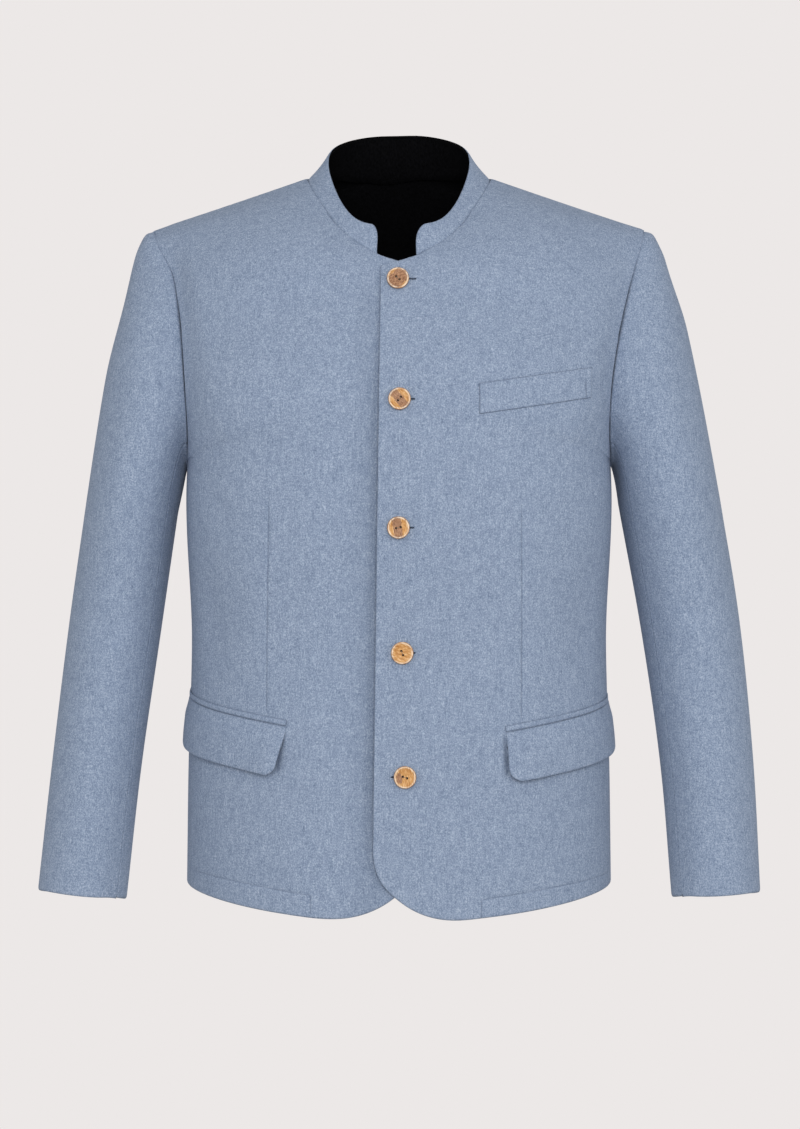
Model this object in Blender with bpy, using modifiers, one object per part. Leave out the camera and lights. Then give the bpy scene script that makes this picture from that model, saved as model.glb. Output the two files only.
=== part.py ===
"""Alpine jacket: a filled-out wool jacket with a stand collar, flap pockets and five buttons.

The jacket is hollow and holds its worn form. The origin is in the middle of the neck, level with the neck
ends of the shoulder seams. +Z is up, the front faces -Y and the wearer's left is +X. All sizes are in metres.
The tables give the inside of the cloth, and its wall grows outwards from there.
"""
import math
from collections import namedtuple

import bmesh
import bpy
import numpy as np
from mathutils import Matrix, Vector

# Cloth walls, and the gap left between two pieces at a seam
CLOTH_WALL = 0.0020
COLLAR_WALL = 0.0030
FLAP_WALL = 0.0030
STRIP_WALL = 0.0022
SEAM_GAP = 0.0003

# Front opening: how far each front runs past the middle, and how far the lower one lies inside
LAP_HALF = 0.0205
LAP_DROP = CLOTH_WALL + 0.0022
LAP_FADE_START = 0.048
LAP_FADE_END = 0.105

# Share of a front's height over which the rounded corner of its hem fades
HEM_CORNER_FADE = 0.30

# Stand collar
COLLAR_END = 0.018
COLLAR_CORNER = 0.016

# Two-piece sleeves: the turns of their seams, and how the cap leaves the armhole
FRONT_SEAM_TURN = 146.0
HIND_SEAM_TURN = 246.0
SLEEVE_STAND_OFF = CLOTH_WALL + 0.0014
STAND_OFF_START_TURN = 4.0
STAND_OFF_FULL_TURN = 60.0

# Lower pockets
FLAP_SLANT = math.radians(9.5)
FLAP_LENGTH = 0.166
FLAP_HEIGHT = 0.048
FLAP_CORNER = 0.013
FLAP_LIFT = 0.0024
JET_HEIGHT = 0.0055
PATCH_LIFT = CLOTH_WALL + 0.0010

# Breast pocket welt, with upright ends
WELT_START = 0.0958
WELT_TOP = -0.2035
WELT_SLANT = math.radians(8.3)
WELT_LENGTH = 0.1175
WELT_HEIGHT = 0.0285

# Two-hole buttons
BUTTON_RADIUS = 0.0103
BUTTON_THICKNESS = 0.0038
BUTTON_RIM_INNER = 0.0022
BUTTON_RIM_TOP_INNER = 0.0013
BUTTON_RIM_TOP_OUTER = 0.0007
BUTTON_DISH = 0.0009
BUTTON_EDGE = 0.0010
BUTTON_HOLE_RADIUS = 0.0011
BUTTON_HOLE_SPACING = 0.0042
BUTTON_SIDES = 28
BUTTON_HOLE_SIDES = 8
BUTTON_HOLE_DEPTH = 4.0 * BUTTON_THICKNESS
BUTTON_STAND_OFF = 0.0008

Place = namedtuple("Place", "name x y z")
Rung = namedtuple("Rung", "name at start_pull end_pull")
RingPlace = namedtuple("RingPlace", "name turn x y z")
CapPull = namedtuple("CapPull", "name turn out forward up arm_share")
SleeveSection = namedtuple("SleeveSection", "name x y z half_width half_depth")
CollarTop = namedtuple("CollarTop", "name at x y z base_lift")
HemCorner = namedtuple("HemCorner", "width height")
Sleeve = namedtuple("Sleeve", "name is_left cap_fullness sections")
ButtonPlace = namedtuple("ButtonPlace", "name x z turn")
PocketPlace = namedtuple("PocketPlace", "name is_left start top")

NECK_POINT = (0.0890, 0.004, 0.0010)
SHOULDER_TIP = (0.2380, 0.008, -0.0485)
UNDERARM = (0.2020, 0.020, -0.2740)
NECK_CORNER = (-LAP_HALF, -0.0905, -0.0910)
NAPE = (0.0, 0.074, 0.0130)

FRONT_EDGE = (
    Place("hem", -LAP_HALF, -0.128, -0.7065),
    Place("flap", -LAP_HALF, -0.126, -0.5600),
    Place("waist", -LAP_HALF, -0.122, -0.4500),
    Place("ribs", -LAP_HALF, -0.130, -0.3300),
    Place("chest", -LAP_HALF, -0.129, -0.2300),
    Place("upper chest", -LAP_HALF, -0.110, -0.1450),
    Place("neck corner", *NECK_CORNER),
)

FRONT_NECKLINE = (
    Place("neck corner", *NECK_CORNER),
    Place("collar end", COLLAR_END, -0.085, -0.0800),
    Place("front curve", 0.0460, -0.072, -0.0640),
    Place("side front", 0.0660, -0.050, -0.0400),
    Place("near shoulder", 0.0830, -0.020, -0.0130),
    Place("neck point", *NECK_POINT),
)

CENTRE_BACK = (
    Place("hem", 0.0, 0.112, -0.6800),
    Place("seat", 0.0, 0.104, -0.5600),
    Place("waist", 0.0, 0.094, -0.4300),
    Place("ribs", 0.0, 0.106, -0.3000),
    Place("shoulder blade", 0.0, 0.117, -0.1800),
    Place("upper back", 0.0, 0.106, -0.0850),
    Place("nape", *NAPE),
)

BACK_NECKLINE = (
    Place("nape", *NAPE),
    Place("nape side", 0.0220, 0.0725, 0.0128),
    Place("back curve", 0.0540, 0.0590, 0.0108),
    Place("side back", 0.0790, 0.0340, 0.0055),
    Place("neck point", *NECK_POINT),
)

SIDE_SEAM = (
    Place("hem", 0.2010, 0.042, -0.6800),
    Place("hip", 0.1995, 0.040, -0.5800),
    Place("waist", 0.1960, 0.036, -0.4400),
    Place("ribs", 0.1990, 0.030, -0.3400),
    Place("underarm", *UNDERARM),
)

# The armhole, by the turn in degrees from the shoulder tip over the front, the underarm and the back
ARMHOLE = (
    RingPlace("shoulder tip", 0.0, *SHOULDER_TIP),
    RingPlace("front high", 48.0, 0.2250, -0.037, -0.1080),
    RingPlace("front", 95.0, 0.2110, -0.056, -0.1860),
    RingPlace("front low", 142.0, 0.2020, -0.036, -0.2510),
    RingPlace("underarm front", 162.0, 0.2030, -0.008, -0.2700),
    RingPlace("underarm", 180.0, *UNDERARM),
    RingPlace("back low", 216.0, 0.1965, 0.056, -0.2460),
    RingPlace("back", 264.0, 0.2080, 0.070, -0.1660),
    RingPlace("back high", 313.0, 0.2250, 0.051, -0.0980),
    RingPlace("shoulder tip", 360.0, *SHOULDER_TIP),
)

# How the sleeve cap leaves the armhole, and the share of its way that follows the arm
CAP_PULLS = (
    CapPull("shoulder tip", 0.0, 0.020, 0.000, -0.002, 0.73),
    CapPull("front high", 48.0, 0.022, 0.006, -0.002, 0.62),
    CapPull("front", 95.0, 0.016, 0.010, -0.004, 0.50),
    CapPull("front low", 142.0, 0.009, 0.004, 0.000, 0.40),
    CapPull("underarm", 180.0, 0.008, 0.000, 0.001, 0.35),
    CapPull("back low", 216.0, 0.009, -0.004, 0.000, 0.40),
    CapPull("back", 264.0, 0.018, -0.010, -0.004, 0.50),
    CapPull("back high", 313.0, 0.022, -0.006, -0.002, 0.62),
    CapPull("shoulder tip", 360.0, 0.020, 0.000, -0.002, 0.73),
)

LEFT_SLEEVE = Sleeve("left", True, 1.0, (
    SleeveSection("upper arm", 0.2620, 0.006, -0.3090, 0.0468, 0.070),
    SleeveSection("elbow", 0.2825, 0.009, -0.4260, 0.0458, 0.060),
    SleeveSection("forearm", 0.2980, -0.007, -0.5650, 0.0427, 0.052),
    SleeveSection("cuff", 0.3045, -0.030, -0.6885, 0.0405, 0.046),
))

RIGHT_SLEEVE = Sleeve("right", False, 0.85, (
    SleeveSection("upper arm", 0.2580, 0.006, -0.3090, 0.0425, 0.070),
    SleeveSection("elbow", 0.2750, 0.009, -0.4260, 0.0425, 0.060),
    SleeveSection("forearm", 0.2923, -0.007, -0.5650, 0.0409, 0.052),
    SleeveSection("cuff", 0.3042, -0.030, -0.6885, 0.0406, 0.046),
))

# How each row of a panel leaves its inner edge and comes in to its outer edge
FRONT_RUNGS = (
    Rung("hem", 0.00, (0.155, -0.003, 0.0), (0.020, -0.118, 0.004)),
    Rung("waist", 0.34, (0.152, -0.002, 0.0), (0.020, -0.112, 0.0)),
    Rung("underarm", 0.60, (0.156, -0.004, 0.0), (0.010, -0.110, 0.0)),
    Rung("armhole bend", 0.64, (0.152, -0.005, -0.001), (-0.003, -0.096, 0.000)),
    Rung("chest", 0.71, (0.136, -0.008, -0.010), (-0.014, -0.070, 0.004)),
    Rung("neck corner", 0.82, (0.080, -0.016, -0.030), (-0.040, -0.046, 0.016)),
    Rung("yoke", 0.92, (0.050, -0.016, -0.010), (-0.052, -0.024, 0.030)),
    Rung("shoulder", 1.00, (0.050, -0.001, -0.017), (-0.050, -0.001, 0.016)),
)

BACK_RUNGS = (
    Rung("hem", 0.00, (0.115, 0.0, 0.0), (-0.009, 0.053, 0.0)),
    Rung("waist", 0.34, (0.110, 0.0, 0.0), (-0.009, 0.050, 0.0)),
    Rung("underarm", 0.60, (0.118, 0.0, 0.0), (-0.008, 0.070, 0.0)),
    Rung("shoulder blade", 0.72, (0.095, 0.000, -0.004), (-0.042, 0.042, 0.004)),
    Rung("upper back", 0.86, (0.070, 0.004, -0.010), (-0.060, 0.030, 0.018)),
    Rung("nape", 0.94, (0.038, 0.012, -0.024), (-0.060, 0.022, 0.028)),
    Rung("shoulder", 1.00, (0.050, 0.001, -0.017), (-0.050, 0.001, 0.016)),
)

# Shares of a panel's height at which its edges turn: at the underarm, the neck corner and the nape
UNDERARM_ROW = 0.60
NECK_CORNER_ROW = 0.82
NAPE_ROW = 0.94

# Top edge of half the collar, by its share of the way from the front end to the nape
COLLAR_TOP = (
    CollarTop("front end", 0.00, 0.0175, -0.0770, -0.0510, 0.0028),
    CollarTop("front curve", 0.17, 0.0400, -0.0655, -0.0435, 0.0028),
    CollarTop("side front", 0.34, 0.0560, -0.0430, -0.0230, 0.0027),
    CollarTop("side", 0.54, 0.0680, -0.0040, 0.0160, 0.0027),
    CollarTop("side back", 0.77, 0.0540, 0.0420, 0.0425, 0.0027),
    CollarTop("nape side", 0.91, 0.0240, 0.0620, 0.0515, 0.0022),
    CollarTop("nape", 1.00, 0.0000, 0.0640, 0.0525, 0.0020),
)

LEFT_HEM_CORNER = HemCorner(0.080, 0.063)
RIGHT_HEM_CORNER = HemCorner(0.093, 0.072)

# Lower pockets: where each flap's top starts along the cloth from the front edge, and its height there
POCKETS = (
    PocketPlace("left", True, 0.1212, -0.5293),
    PocketPlace("right", False, 0.1268, -0.5238),
)

# Button places, and the turn in degrees of the line through each button's two holes
BUTTONS = (
    ButtonPlace("button_1", 0.0005, -0.1047, -43.0),
    ButtonPlace("button_2", 0.0006, -0.2185, 53.0),
    ButtonPlace("button_3", -0.0005, -0.3375, 12.0),
    ButtonPlace("button_4", 0.0030, -0.4545, -68.0),
    ButtonPlace("button_5", 0.0073, -0.5702, -20.0),
)

# Rows and columns of points on the pieces, and points on each curve that a length is measured along
FINE = 160
SLOPE_STEP = 0.002
FRONT_COLUMNS = np.concatenate([[0.0, 0.010, 0.038, 0.085, 0.145], np.linspace(0.215, 1.0, 12)])
BACK_COLUMNS = np.linspace(0.0, 1.0, 13)
COLLAR_COLUMNS = np.concatenate([[0.0, 0.006, 0.022, 0.046, 0.076], np.linspace(0.13, 1.0, 15)])
COLLAR_ROWS = np.linspace(0.0, 1.0, 5)
TOP_SLEEVE_COLUMNS = 13
UNDER_SLEEVE_COLUMNS = 9
CAP_ROWS = 9
ARM_ROWS = 14
FLAP_END_COLUMNS = np.array([0.0, 0.006, 0.023, 0.048])
FLAP_COLUMNS = np.concatenate([FLAP_END_COLUMNS, np.linspace(0.078, 0.922, 10), 1.0 - FLAP_END_COLUMNS[::-1]])
FLAP_ROWS = np.linspace(0.0, 1.0, 5)
STRIP_COLUMNS = np.linspace(0.0, 1.0, 11)
STRIP_ROWS = np.linspace(0.0, 1.0, 2)
WELT_ROWS = np.linspace(0.0, 1.0, 3)


def panel_rows(lower, turn, middle, upper):
    """Shares of a panel's height for its rows: up to the underarm, to the turn of its edge, and to the top."""
    below = np.linspace(0.0, UNDERARM_ROW, lower, endpoint=False)
    between = np.linspace(UNDERARM_ROW, turn, middle, endpoint=False)
    return np.concatenate([below, between, np.linspace(turn, 1.0, upper + 1)])


FRONT_ROWS = panel_rows(15, NECK_CORNER_ROW, 6, 6)
BACK_ROWS = panel_rows(14, NAPE_ROW, 9, 4)


def lengths_along(points):
    """Length from the first point to each point of a line."""
    steps = np.linalg.norm(np.diff(points, axis=0), axis=1)
    return np.concatenate([[0.0], np.cumsum(steps)])


def smooth_rows(knots, rows, at):
    """Rows of numbers read from the smooth curves through known rows at rising knots."""
    knots = np.asarray(knots, dtype=float)
    rows = np.asarray(rows, dtype=float)
    slopes = np.gradient(rows, knots, axis=0)
    low = np.clip(np.searchsorted(knots, at, side="right") - 1, 0, len(knots) - 2)
    step = (knots[low + 1] - knots[low])[:, None]
    share = (np.asarray(at) - knots[low])[:, None] / step
    start = rows[low] * (1.0 + 2.0 * share) * (1.0 - share) ** 2
    end = rows[low + 1] * share**2 * (3.0 - 2.0 * share)
    bend = slopes[low] * share * (1.0 - share) ** 2 - slopes[low + 1] * share**2 * (1.0 - share)
    return start + end + bend * step


def smooth_ring(places, turns):
    """Numbers of a closed ring of places, read at turns in degrees. The last place repeats the first."""
    knots = [place.turn for place in places]
    rows = [place[2:] for place in places]
    before = [knot - 360.0 for knot in knots[:-1]]
    after = [knot + 360.0 for knot in knots[1:]]
    return smooth_rows(before + knots + after, rows[:-1] + rows + rows[1:], turns)


def read_along(line, distances):
    """Points at distances along a finely pointed line."""
    run = lengths_along(line)
    return np.stack([np.interp(distances, run, line[:, axis]) for axis in range(3)], axis=-1)


def spread(line, fractions):
    """Points at fractions of the length of a finely pointed line."""
    return read_along(line, np.asarray(fractions) * lengths_along(line)[-1])


def curve_through(places):
    """A finely pointed smooth line through named places."""
    corners = np.array([place[1:] for place in places])
    knots = lengths_along(corners)
    return smooth_rows(knots, corners, np.linspace(0.0, knots[-1], FINE))


def arcs_between(starts, start_pulls, end_pulls, ends, shares):
    """Cubic arcs from starts to ends, each led out of its start and into its end by a pull."""
    share = np.asarray(shares)[None, :, None]
    first = starts[:, None] * (1.0 - share) ** 3
    second = (starts + start_pulls)[:, None] * 3.0 * share * (1.0 - share) ** 2
    third = (ends + end_pulls)[:, None] * 3.0 * share**2 * (1.0 - share)
    return first + second + third + ends[:, None] * share**3


def ease(values, start, end):
    """A smooth step from 0 at the start to 1 at the end."""
    share = np.clip((np.asarray(values) - start) / (end - start), 0.0, 1.0)
    return share**2 * (3.0 - 2.0 * share)


def corner_loss(distances, width, height):
    """What a rounded corner takes off an edge, at distances from the side that ends it."""
    share = np.clip(1.0 - np.asarray(distances) / width, 0.0, 1.0)
    return height * (1.0 - np.sqrt(1.0 - share**2))


def mirrored(points):
    """Points on the wearer's other side."""
    return points * np.array([-1.0, 1.0, 1.0])


def lapped_under(points):
    """Points of the right front and its collar end, laid inside the left front near the opening."""
    dropped = np.array(points)
    from_edge = LAP_HALF - dropped[..., 0]
    dropped[..., 1] += LAP_DROP * (1.0 - ease(from_edge, LAP_FADE_START, LAP_FADE_END))
    return dropped


class Panel:
    """A cloth panel in rows, each an arc from its inner edge to its outer edge, on the wearer's left."""

    def __init__(self, inner_low, inner_high, inner_turn, outer_high, rungs, hem_corner):
        self.inner = (curve_through(inner_low), curve_through(inner_high), inner_turn)
        self.outer = (curve_through(SIDE_SEAM), outer_high, UNDERARM_ROW)
        self.rung_at = [rung.at for rung in rungs]
        self.pulls = [rung.start_pull + rung.end_pull for rung in rungs]
        self.hem_corner = hem_corner

    @staticmethod
    def edge(path, rows):
        """Points of an edge that turns a corner, at shares of the panel's height."""
        low, high, turn = path
        lower = spread(low, np.clip(rows / turn, 0.0, 1.0))
        upper = spread(high, np.clip((rows - turn) / (1.0 - turn), 0.0, 1.0))
        return np.where((rows <= turn)[:, None], lower, upper)

    def arcs(self, rows):
        """Finely pointed arcs at shares of the panel's height."""
        pulls = smooth_rows(self.rung_at, self.pulls, rows)
        starts = self.edge(self.inner, rows)
        ends = self.edge(self.outer, rows)
        arcs = arcs_between(starts, pulls[:, :3], pulls[:, 3:], ends, np.linspace(0.0, 1.0, FINE))
        if self.hem_corner:
            fade = np.clip(1.0 - rows / HEM_CORNER_FADE, 0.0, 1.0) ** 2
            for arc, share in zip(arcs, fade):
                arc[:, 2] += share * corner_loss(lengths_along(arc), *self.hem_corner)
        return arcs

    def grid(self, rows, columns):
        """Points in rows and columns, trimmed by about a seam gap along the outer edge and the top."""
        trimmed_rows = np.minimum(rows, 1.0 - SEAM_GAP)
        points = []
        for arc in self.arcs(trimmed_rows):
            trim = 1.0 - SEAM_GAP / lengths_along(arc)[-1]
            points.append(spread(arc, columns * trim))
        return np.array(points)

    def at(self, distances, heights):
        """Points of the cloth at distances along it from the inner edge and at heights."""
        arcs = self.arcs(np.linspace(0.0, NECK_CORNER_ROW, FINE))
        ladder = np.array([read_along(arc, distances) for arc in arcs])
        points = []
        for column, height in enumerate(heights):
            rungs = ladder[:, column]
            points.append([np.interp(height, rungs[:, 2], rungs[:, axis]) for axis in range(3)])
        return np.array(points)

    def outward(self, distances, heights):
        """Directions straight out of the cloth at distances and heights."""
        across = self.at(distances + SLOPE_STEP, heights) - self.at(distances - SLOPE_STEP, heights)
        upward = self.at(distances, heights + SLOPE_STEP) - self.at(distances, heights - SLOPE_STEP)
        directions = np.cross(across, upward)
        return directions / np.linalg.norm(directions, axis=1)[:, None]

    def raised(self, distances, heights, lifts):
        """Points at distances and heights, moved out from the cloth by lifts."""
        return self.at(distances, heights) + self.outward(distances, heights) * lifts[:, None]


def cloth_material(name, colour, roughness):
    """A plain material for a cloth or horn piece."""
    material = bpy.data.materials.new(name)
    material.use_nodes = True
    shader = material.node_tree.nodes["Principled BSDF"]
    shader.inputs["Base Color"].default_value = (*colour, 1.0)
    shader.inputs["Roughness"].default_value = roughness
    shader.inputs["Metallic"].default_value = 0.0
    return material


def new_object(name, edit, collection, material):
    """An object named for its piece, made from an edit mesh."""
    mesh = bpy.data.meshes.new(name)
    edit.to_mesh(mesh)
    edit.free()
    mesh.materials.append(material)
    mesh.shade_smooth()
    piece = bpy.data.objects.new(name, mesh)
    collection.objects.link(piece)
    return piece


def cloth_piece(name, points, wall, collection, material, flip=False, wall_side=1.0):
    """A cloth shell on a grid of points in rows and columns, with its wall outside unless told otherwise."""
    row_count, column_count = points.shape[:2]
    edit = bmesh.new()
    bmesh.ops.create_grid(edit, x_segments=column_count - 1, y_segments=row_count - 1, size=1.0)
    for vertex, point in zip(edit.verts, points.reshape(-1, 3)):
        vertex.co = point
    if flip:
        bmesh.ops.reverse_faces(edit, faces=edit.faces)
    piece = new_object(name, edit, collection, material)
    shell = piece.modifiers.new("Wall", "SOLIDIFY")
    shell.thickness = wall
    shell.offset = wall_side
    shell.use_even_offset = True
    shell.use_quality_normals = True
    return piece


def armhole_line(start_turn, end_turn):
    """A finely pointed line along the armhole between two turns."""
    return smooth_ring(ARMHOLE, np.linspace(start_turn, end_turn, FINE))


def front_panel(hem_corner):
    """A front, drawn as the left one."""
    armhole = armhole_line(180.0, 0.0)
    return Panel(FRONT_EDGE, FRONT_NECKLINE, NECK_CORNER_ROW, armhole, FRONT_RUNGS, hem_corner)


def make_fronts(collection, material):
    """The two fronts, the left one over the right one."""
    left = front_panel(LEFT_HEM_CORNER).grid(FRONT_ROWS, FRONT_COLUMNS)
    right = front_panel(RIGHT_HEM_CORNER).grid(FRONT_ROWS, FRONT_COLUMNS)
    cloth_piece("front_left", left, CLOTH_WALL, collection, material)
    cloth_piece("front_right", lapped_under(mirrored(right)), CLOTH_WALL, collection, material, flip=True)


def make_back(collection, material):
    """The back, one half drawn and mirrored at the centre back."""
    back = Panel(CENTRE_BACK, BACK_NECKLINE, NAPE_ROW, armhole_line(180.0, 360.0), BACK_RUNGS, None)
    piece = cloth_piece("back", back.grid(BACK_ROWS, BACK_COLUMNS), CLOTH_WALL, collection, material, flip=True)
    fold = piece.modifiers.new("Fold", "MIRROR")
    fold.merge_threshold = 0.00005
    piece.modifiers.move(piece.modifiers.find("Fold"), 0)


def sleeve_rings(sleeve, turns):
    """Rings of a left sleeve at turns, from the armhole down the cap and along the arm to the cuff."""
    axis = np.array([section[1:4] for section in sleeve.sections])
    drops = lengths_along(axis)
    depths = np.linspace(0.0, drops[-1], ARM_ROWS)
    rows = smooth_rows(drops, [section[1:] for section in sleeve.sections], depths)
    centres = rows[:, :3]
    along = np.gradient(centres, depths, axis=0)
    along /= np.linalg.norm(along, axis=1)[:, None]
    outward = np.cross(along, np.array([0.0, 1.0, 0.0]))
    outward *= np.sign(outward[:, :1])
    outward /= np.linalg.norm(outward, axis=1)[:, None]
    forward = np.cross(along, outward)
    forward *= -np.sign(forward[:, 1:2])
    radians = np.radians(turns)
    wide = rows[:, 3, None, None] * np.cos(radians)[None, :, None] * outward[:, None]
    deep = rows[:, 4, None, None] * np.sin(radians)[None, :, None] * forward[:, None]
    arm = centres[:, None] + wide + deep
    return np.concatenate([sleeve_cap(arm[0], along[0], turns, sleeve.cap_fullness)[:-1], arm])


def sleeve_cap(first_ring, along, turns, fullness):
    """Rings of the sleeve cap, from just off the armhole to the first ring of the arm."""
    starts = smooth_ring(ARMHOLE, turns)
    from_tip = np.minimum(turns % 360.0, 360.0 - turns % 360.0)
    starts[:, 0] += SEAM_GAP + SLEEVE_STAND_OFF * ease(from_tip, STAND_OFF_START_TURN, STAND_OFF_FULL_TURN)
    pulls = smooth_ring(CAP_PULLS, turns)
    start_pulls = pulls[:, :3] * np.array([fullness, -1.0, 1.0])
    reach = np.linalg.norm(first_ring - starts, axis=1)
    end_pulls = -along[None, :] * (pulls[:, 3] * reach)[:, None]
    shares = np.linspace(0.0, 1.0, CAP_ROWS)
    return arcs_between(starts, start_pulls, end_pulls, first_ring, shares).transpose(1, 0, 2)


def make_sleeve(sleeve, collection, material):
    """One sleeve in two pieces, the top sleeve round the outside and the under sleeve by the body."""
    half_gap = math.degrees(SEAM_GAP / sleeve.sections[0].half_width)
    spans = (
        ("top", HIND_SEAM_TURN - 360.0 + half_gap, FRONT_SEAM_TURN - half_gap, TOP_SLEEVE_COLUMNS),
        ("under", FRONT_SEAM_TURN + half_gap, HIND_SEAM_TURN - half_gap, UNDER_SLEEVE_COLUMNS),
    )
    for layer, start, end, count in spans:
        points = sleeve_rings(sleeve, np.linspace(start, end, count))
        points = points if sleeve.is_left else mirrored(points)
        name = f"sleeve_{sleeve.name}_{layer}"
        cloth_piece(name, points, CLOTH_WALL, collection, material, flip=not sleeve.is_left)


def make_collar(collection, material):
    """The stand collar round the neck, on the necklines of the fronts and the back."""
    neckline = np.concatenate([curve_through(FRONT_NECKLINE), curve_through(BACK_NECKLINE)[::-1][1:]])
    neckline = neckline[neckline[:, 0] >= 0.0]
    neckline = neckline[np.argmax(neckline[:, 0] >= COLLAR_END):]
    base = spread(neckline, COLLAR_COLUMNS)
    rows = smooth_rows([row.at for row in COLLAR_TOP], [row[2:] for row in COLLAR_TOP], COLLAR_COLUMNS)
    top = rows[:, :3]
    rise = top - base
    height = np.linalg.norm(rise, axis=1)
    start = base + rise / height[:, None] * rows[:, 3:]
    from_end = lengths_along(neckline)[-1] * COLLAR_COLUMNS
    full = 1.0 - corner_loss(from_end, COLLAR_CORNER, COLLAR_CORNER) / height
    half = start[None] + COLLAR_ROWS[:, None, None] * (full[:, None] * (top - start))[None]
    right = lapped_under(mirrored(half))
    points = np.concatenate([right, half[:, ::-1][:, 1:]], axis=1)
    cloth_piece("collar", points, COLLAR_WALL, collection, material, wall_side=0.0)


def pocket_patch(front, pocket, along, down, lifts):
    """Points of a pocket's patch: along its slanted top and down its sides, moved out of the front by lifts."""
    distances = pocket.start + along * math.cos(FLAP_SLANT) + down * math.sin(FLAP_SLANT)
    heights = pocket.top + along * math.sin(FLAP_SLANT) - down * math.cos(FLAP_SLANT)
    points = front.raised(distances.ravel(), heights.ravel(), lifts.ravel()).reshape(*along.shape, 3)
    return points if pocket.is_left else mirrored(points)


def make_lower_pockets(front, collection, material):
    """The flaps and jetting strips of the two lower pockets."""
    along = FLAP_LENGTH * FLAP_COLUMNS
    from_side = np.minimum(along, FLAP_LENGTH - along)
    heights = FLAP_HEIGHT - corner_loss(from_side, FLAP_CORNER, FLAP_CORNER)
    down = heights[None] * (1.0 - FLAP_ROWS[:, None])
    lifts = PATCH_LIFT + FLAP_LIFT * ease(down, 0.0, FLAP_HEIGHT)
    along = np.broadcast_to(along, down.shape)
    strip_along = np.broadcast_to(FLAP_LENGTH * STRIP_COLUMNS, (len(STRIP_ROWS), len(STRIP_COLUMNS)))
    strip_down = np.broadcast_to(-2.0 * SEAM_GAP - JET_HEIGHT * STRIP_ROWS[:, None], strip_along.shape)
    strip_lifts = np.full(strip_along.shape, PATCH_LIFT)
    for pocket in POCKETS:
        flap = pocket_patch(front, pocket, along, down, lifts)
        strip = pocket_patch(front, pocket, strip_along, strip_down, strip_lifts)
        flip = not pocket.is_left
        cloth_piece(f"flap_{pocket.name}", flap, FLAP_WALL, collection, material, flip)
        cloth_piece(f"jet_{pocket.name}", strip, STRIP_WALL, collection, material, flip)


def make_breast_welt(front, collection, material):
    """The welt of the breast pocket, a slanted strip with upright ends."""
    along = np.broadcast_to(WELT_LENGTH * STRIP_COLUMNS, (len(WELT_ROWS), len(STRIP_COLUMNS)))
    distances = WELT_START + along
    heights = WELT_TOP + along * math.tan(WELT_SLANT) - WELT_HEIGHT * (1.0 - WELT_ROWS[:, None])
    lifts = np.full(distances.shape, PATCH_LIFT)
    points = front.raised(distances.ravel(), heights.ravel(), lifts.ravel()).reshape(*distances.shape, 3)
    cloth_piece("breast_welt", points, STRIP_WALL, collection, material)


def button_mesh(material):
    """A turned button with a raised rim and two thread holes, standing on its back face."""
    top = BUTTON_THICKNESS
    profile = (
        (0.0, top - BUTTON_DISH),
        (BUTTON_RADIUS - BUTTON_RIM_INNER, top - BUTTON_DISH),
        (BUTTON_RADIUS - BUTTON_RIM_TOP_INNER, top),
        (BUTTON_RADIUS - BUTTON_RIM_TOP_OUTER, top),
        (BUTTON_RADIUS, top - BUTTON_EDGE),
        (BUTTON_RADIUS - BUTTON_EDGE, 0.0),
        (0.0, 0.0),
    )
    edit = bmesh.new()
    corners = [edit.verts.new((radius, 0.0, height)) for radius, height in profile]
    for upper, lower in zip(corners, corners[1:]):
        edit.edges.new((upper, lower))
    blank = new_object("button_blank", edit, bpy.context.scene.collection, material)
    turn = blank.modifiers.new("Turn", "SCREW")
    turn.steps = BUTTON_SIDES
    turn.render_steps = BUTTON_SIDES
    turn.use_merge_vertices = True
    turn.merge_threshold = 0.00001
    cutters = []
    for side in (-0.5, 0.5):
        hole = bmesh.new()
        bmesh.ops.create_cone(
            hole,
            cap_ends=True,
            segments=BUTTON_HOLE_SIDES,
            radius1=BUTTON_HOLE_RADIUS,
            radius2=BUTTON_HOLE_RADIUS,
            depth=BUTTON_HOLE_DEPTH,
        )
        bmesh.ops.translate(hole, verts=hole.verts, vec=(side * BUTTON_HOLE_SPACING, 0.0, 0.0))
        cutter = new_object("button_hole", hole, bpy.context.scene.collection, material)
        cut = blank.modifiers.new("Hole", "BOOLEAN")
        cut.object = cutter
        cutters.append(cutter)
    evaluated = blank.evaluated_get(bpy.context.evaluated_depsgraph_get())
    mesh = bpy.data.meshes.new_from_object(evaluated)
    for helper in [blank, *cutters]:
        bpy.data.objects.remove(helper)
    mesh.name = "button"
    return mesh


def make_buttons(front, collection, material):
    """The buttons, standing just off the left front and facing straight out of it."""
    mesh = button_mesh(material)
    distances = np.array([LAP_HALF + place.x for place in BUTTONS])
    heights = np.array([place.z for place in BUTTONS])
    lifts = np.full(len(BUTTONS), CLOTH_WALL + BUTTON_STAND_OFF)
    points = front.raised(distances, heights, lifts)
    for place, point, direction in zip(BUTTONS, points, front.outward(distances, heights)):
        button = bpy.data.objects.new(place.name, mesh)
        facing = Vector(direction).to_track_quat("Z", "Y").to_matrix().to_4x4()
        turn = Matrix.Rotation(math.radians(place.turn), 4, "Z")
        button.matrix_world = Matrix.Translation(point) @ facing @ turn
        collection.objects.link(button)


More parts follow.
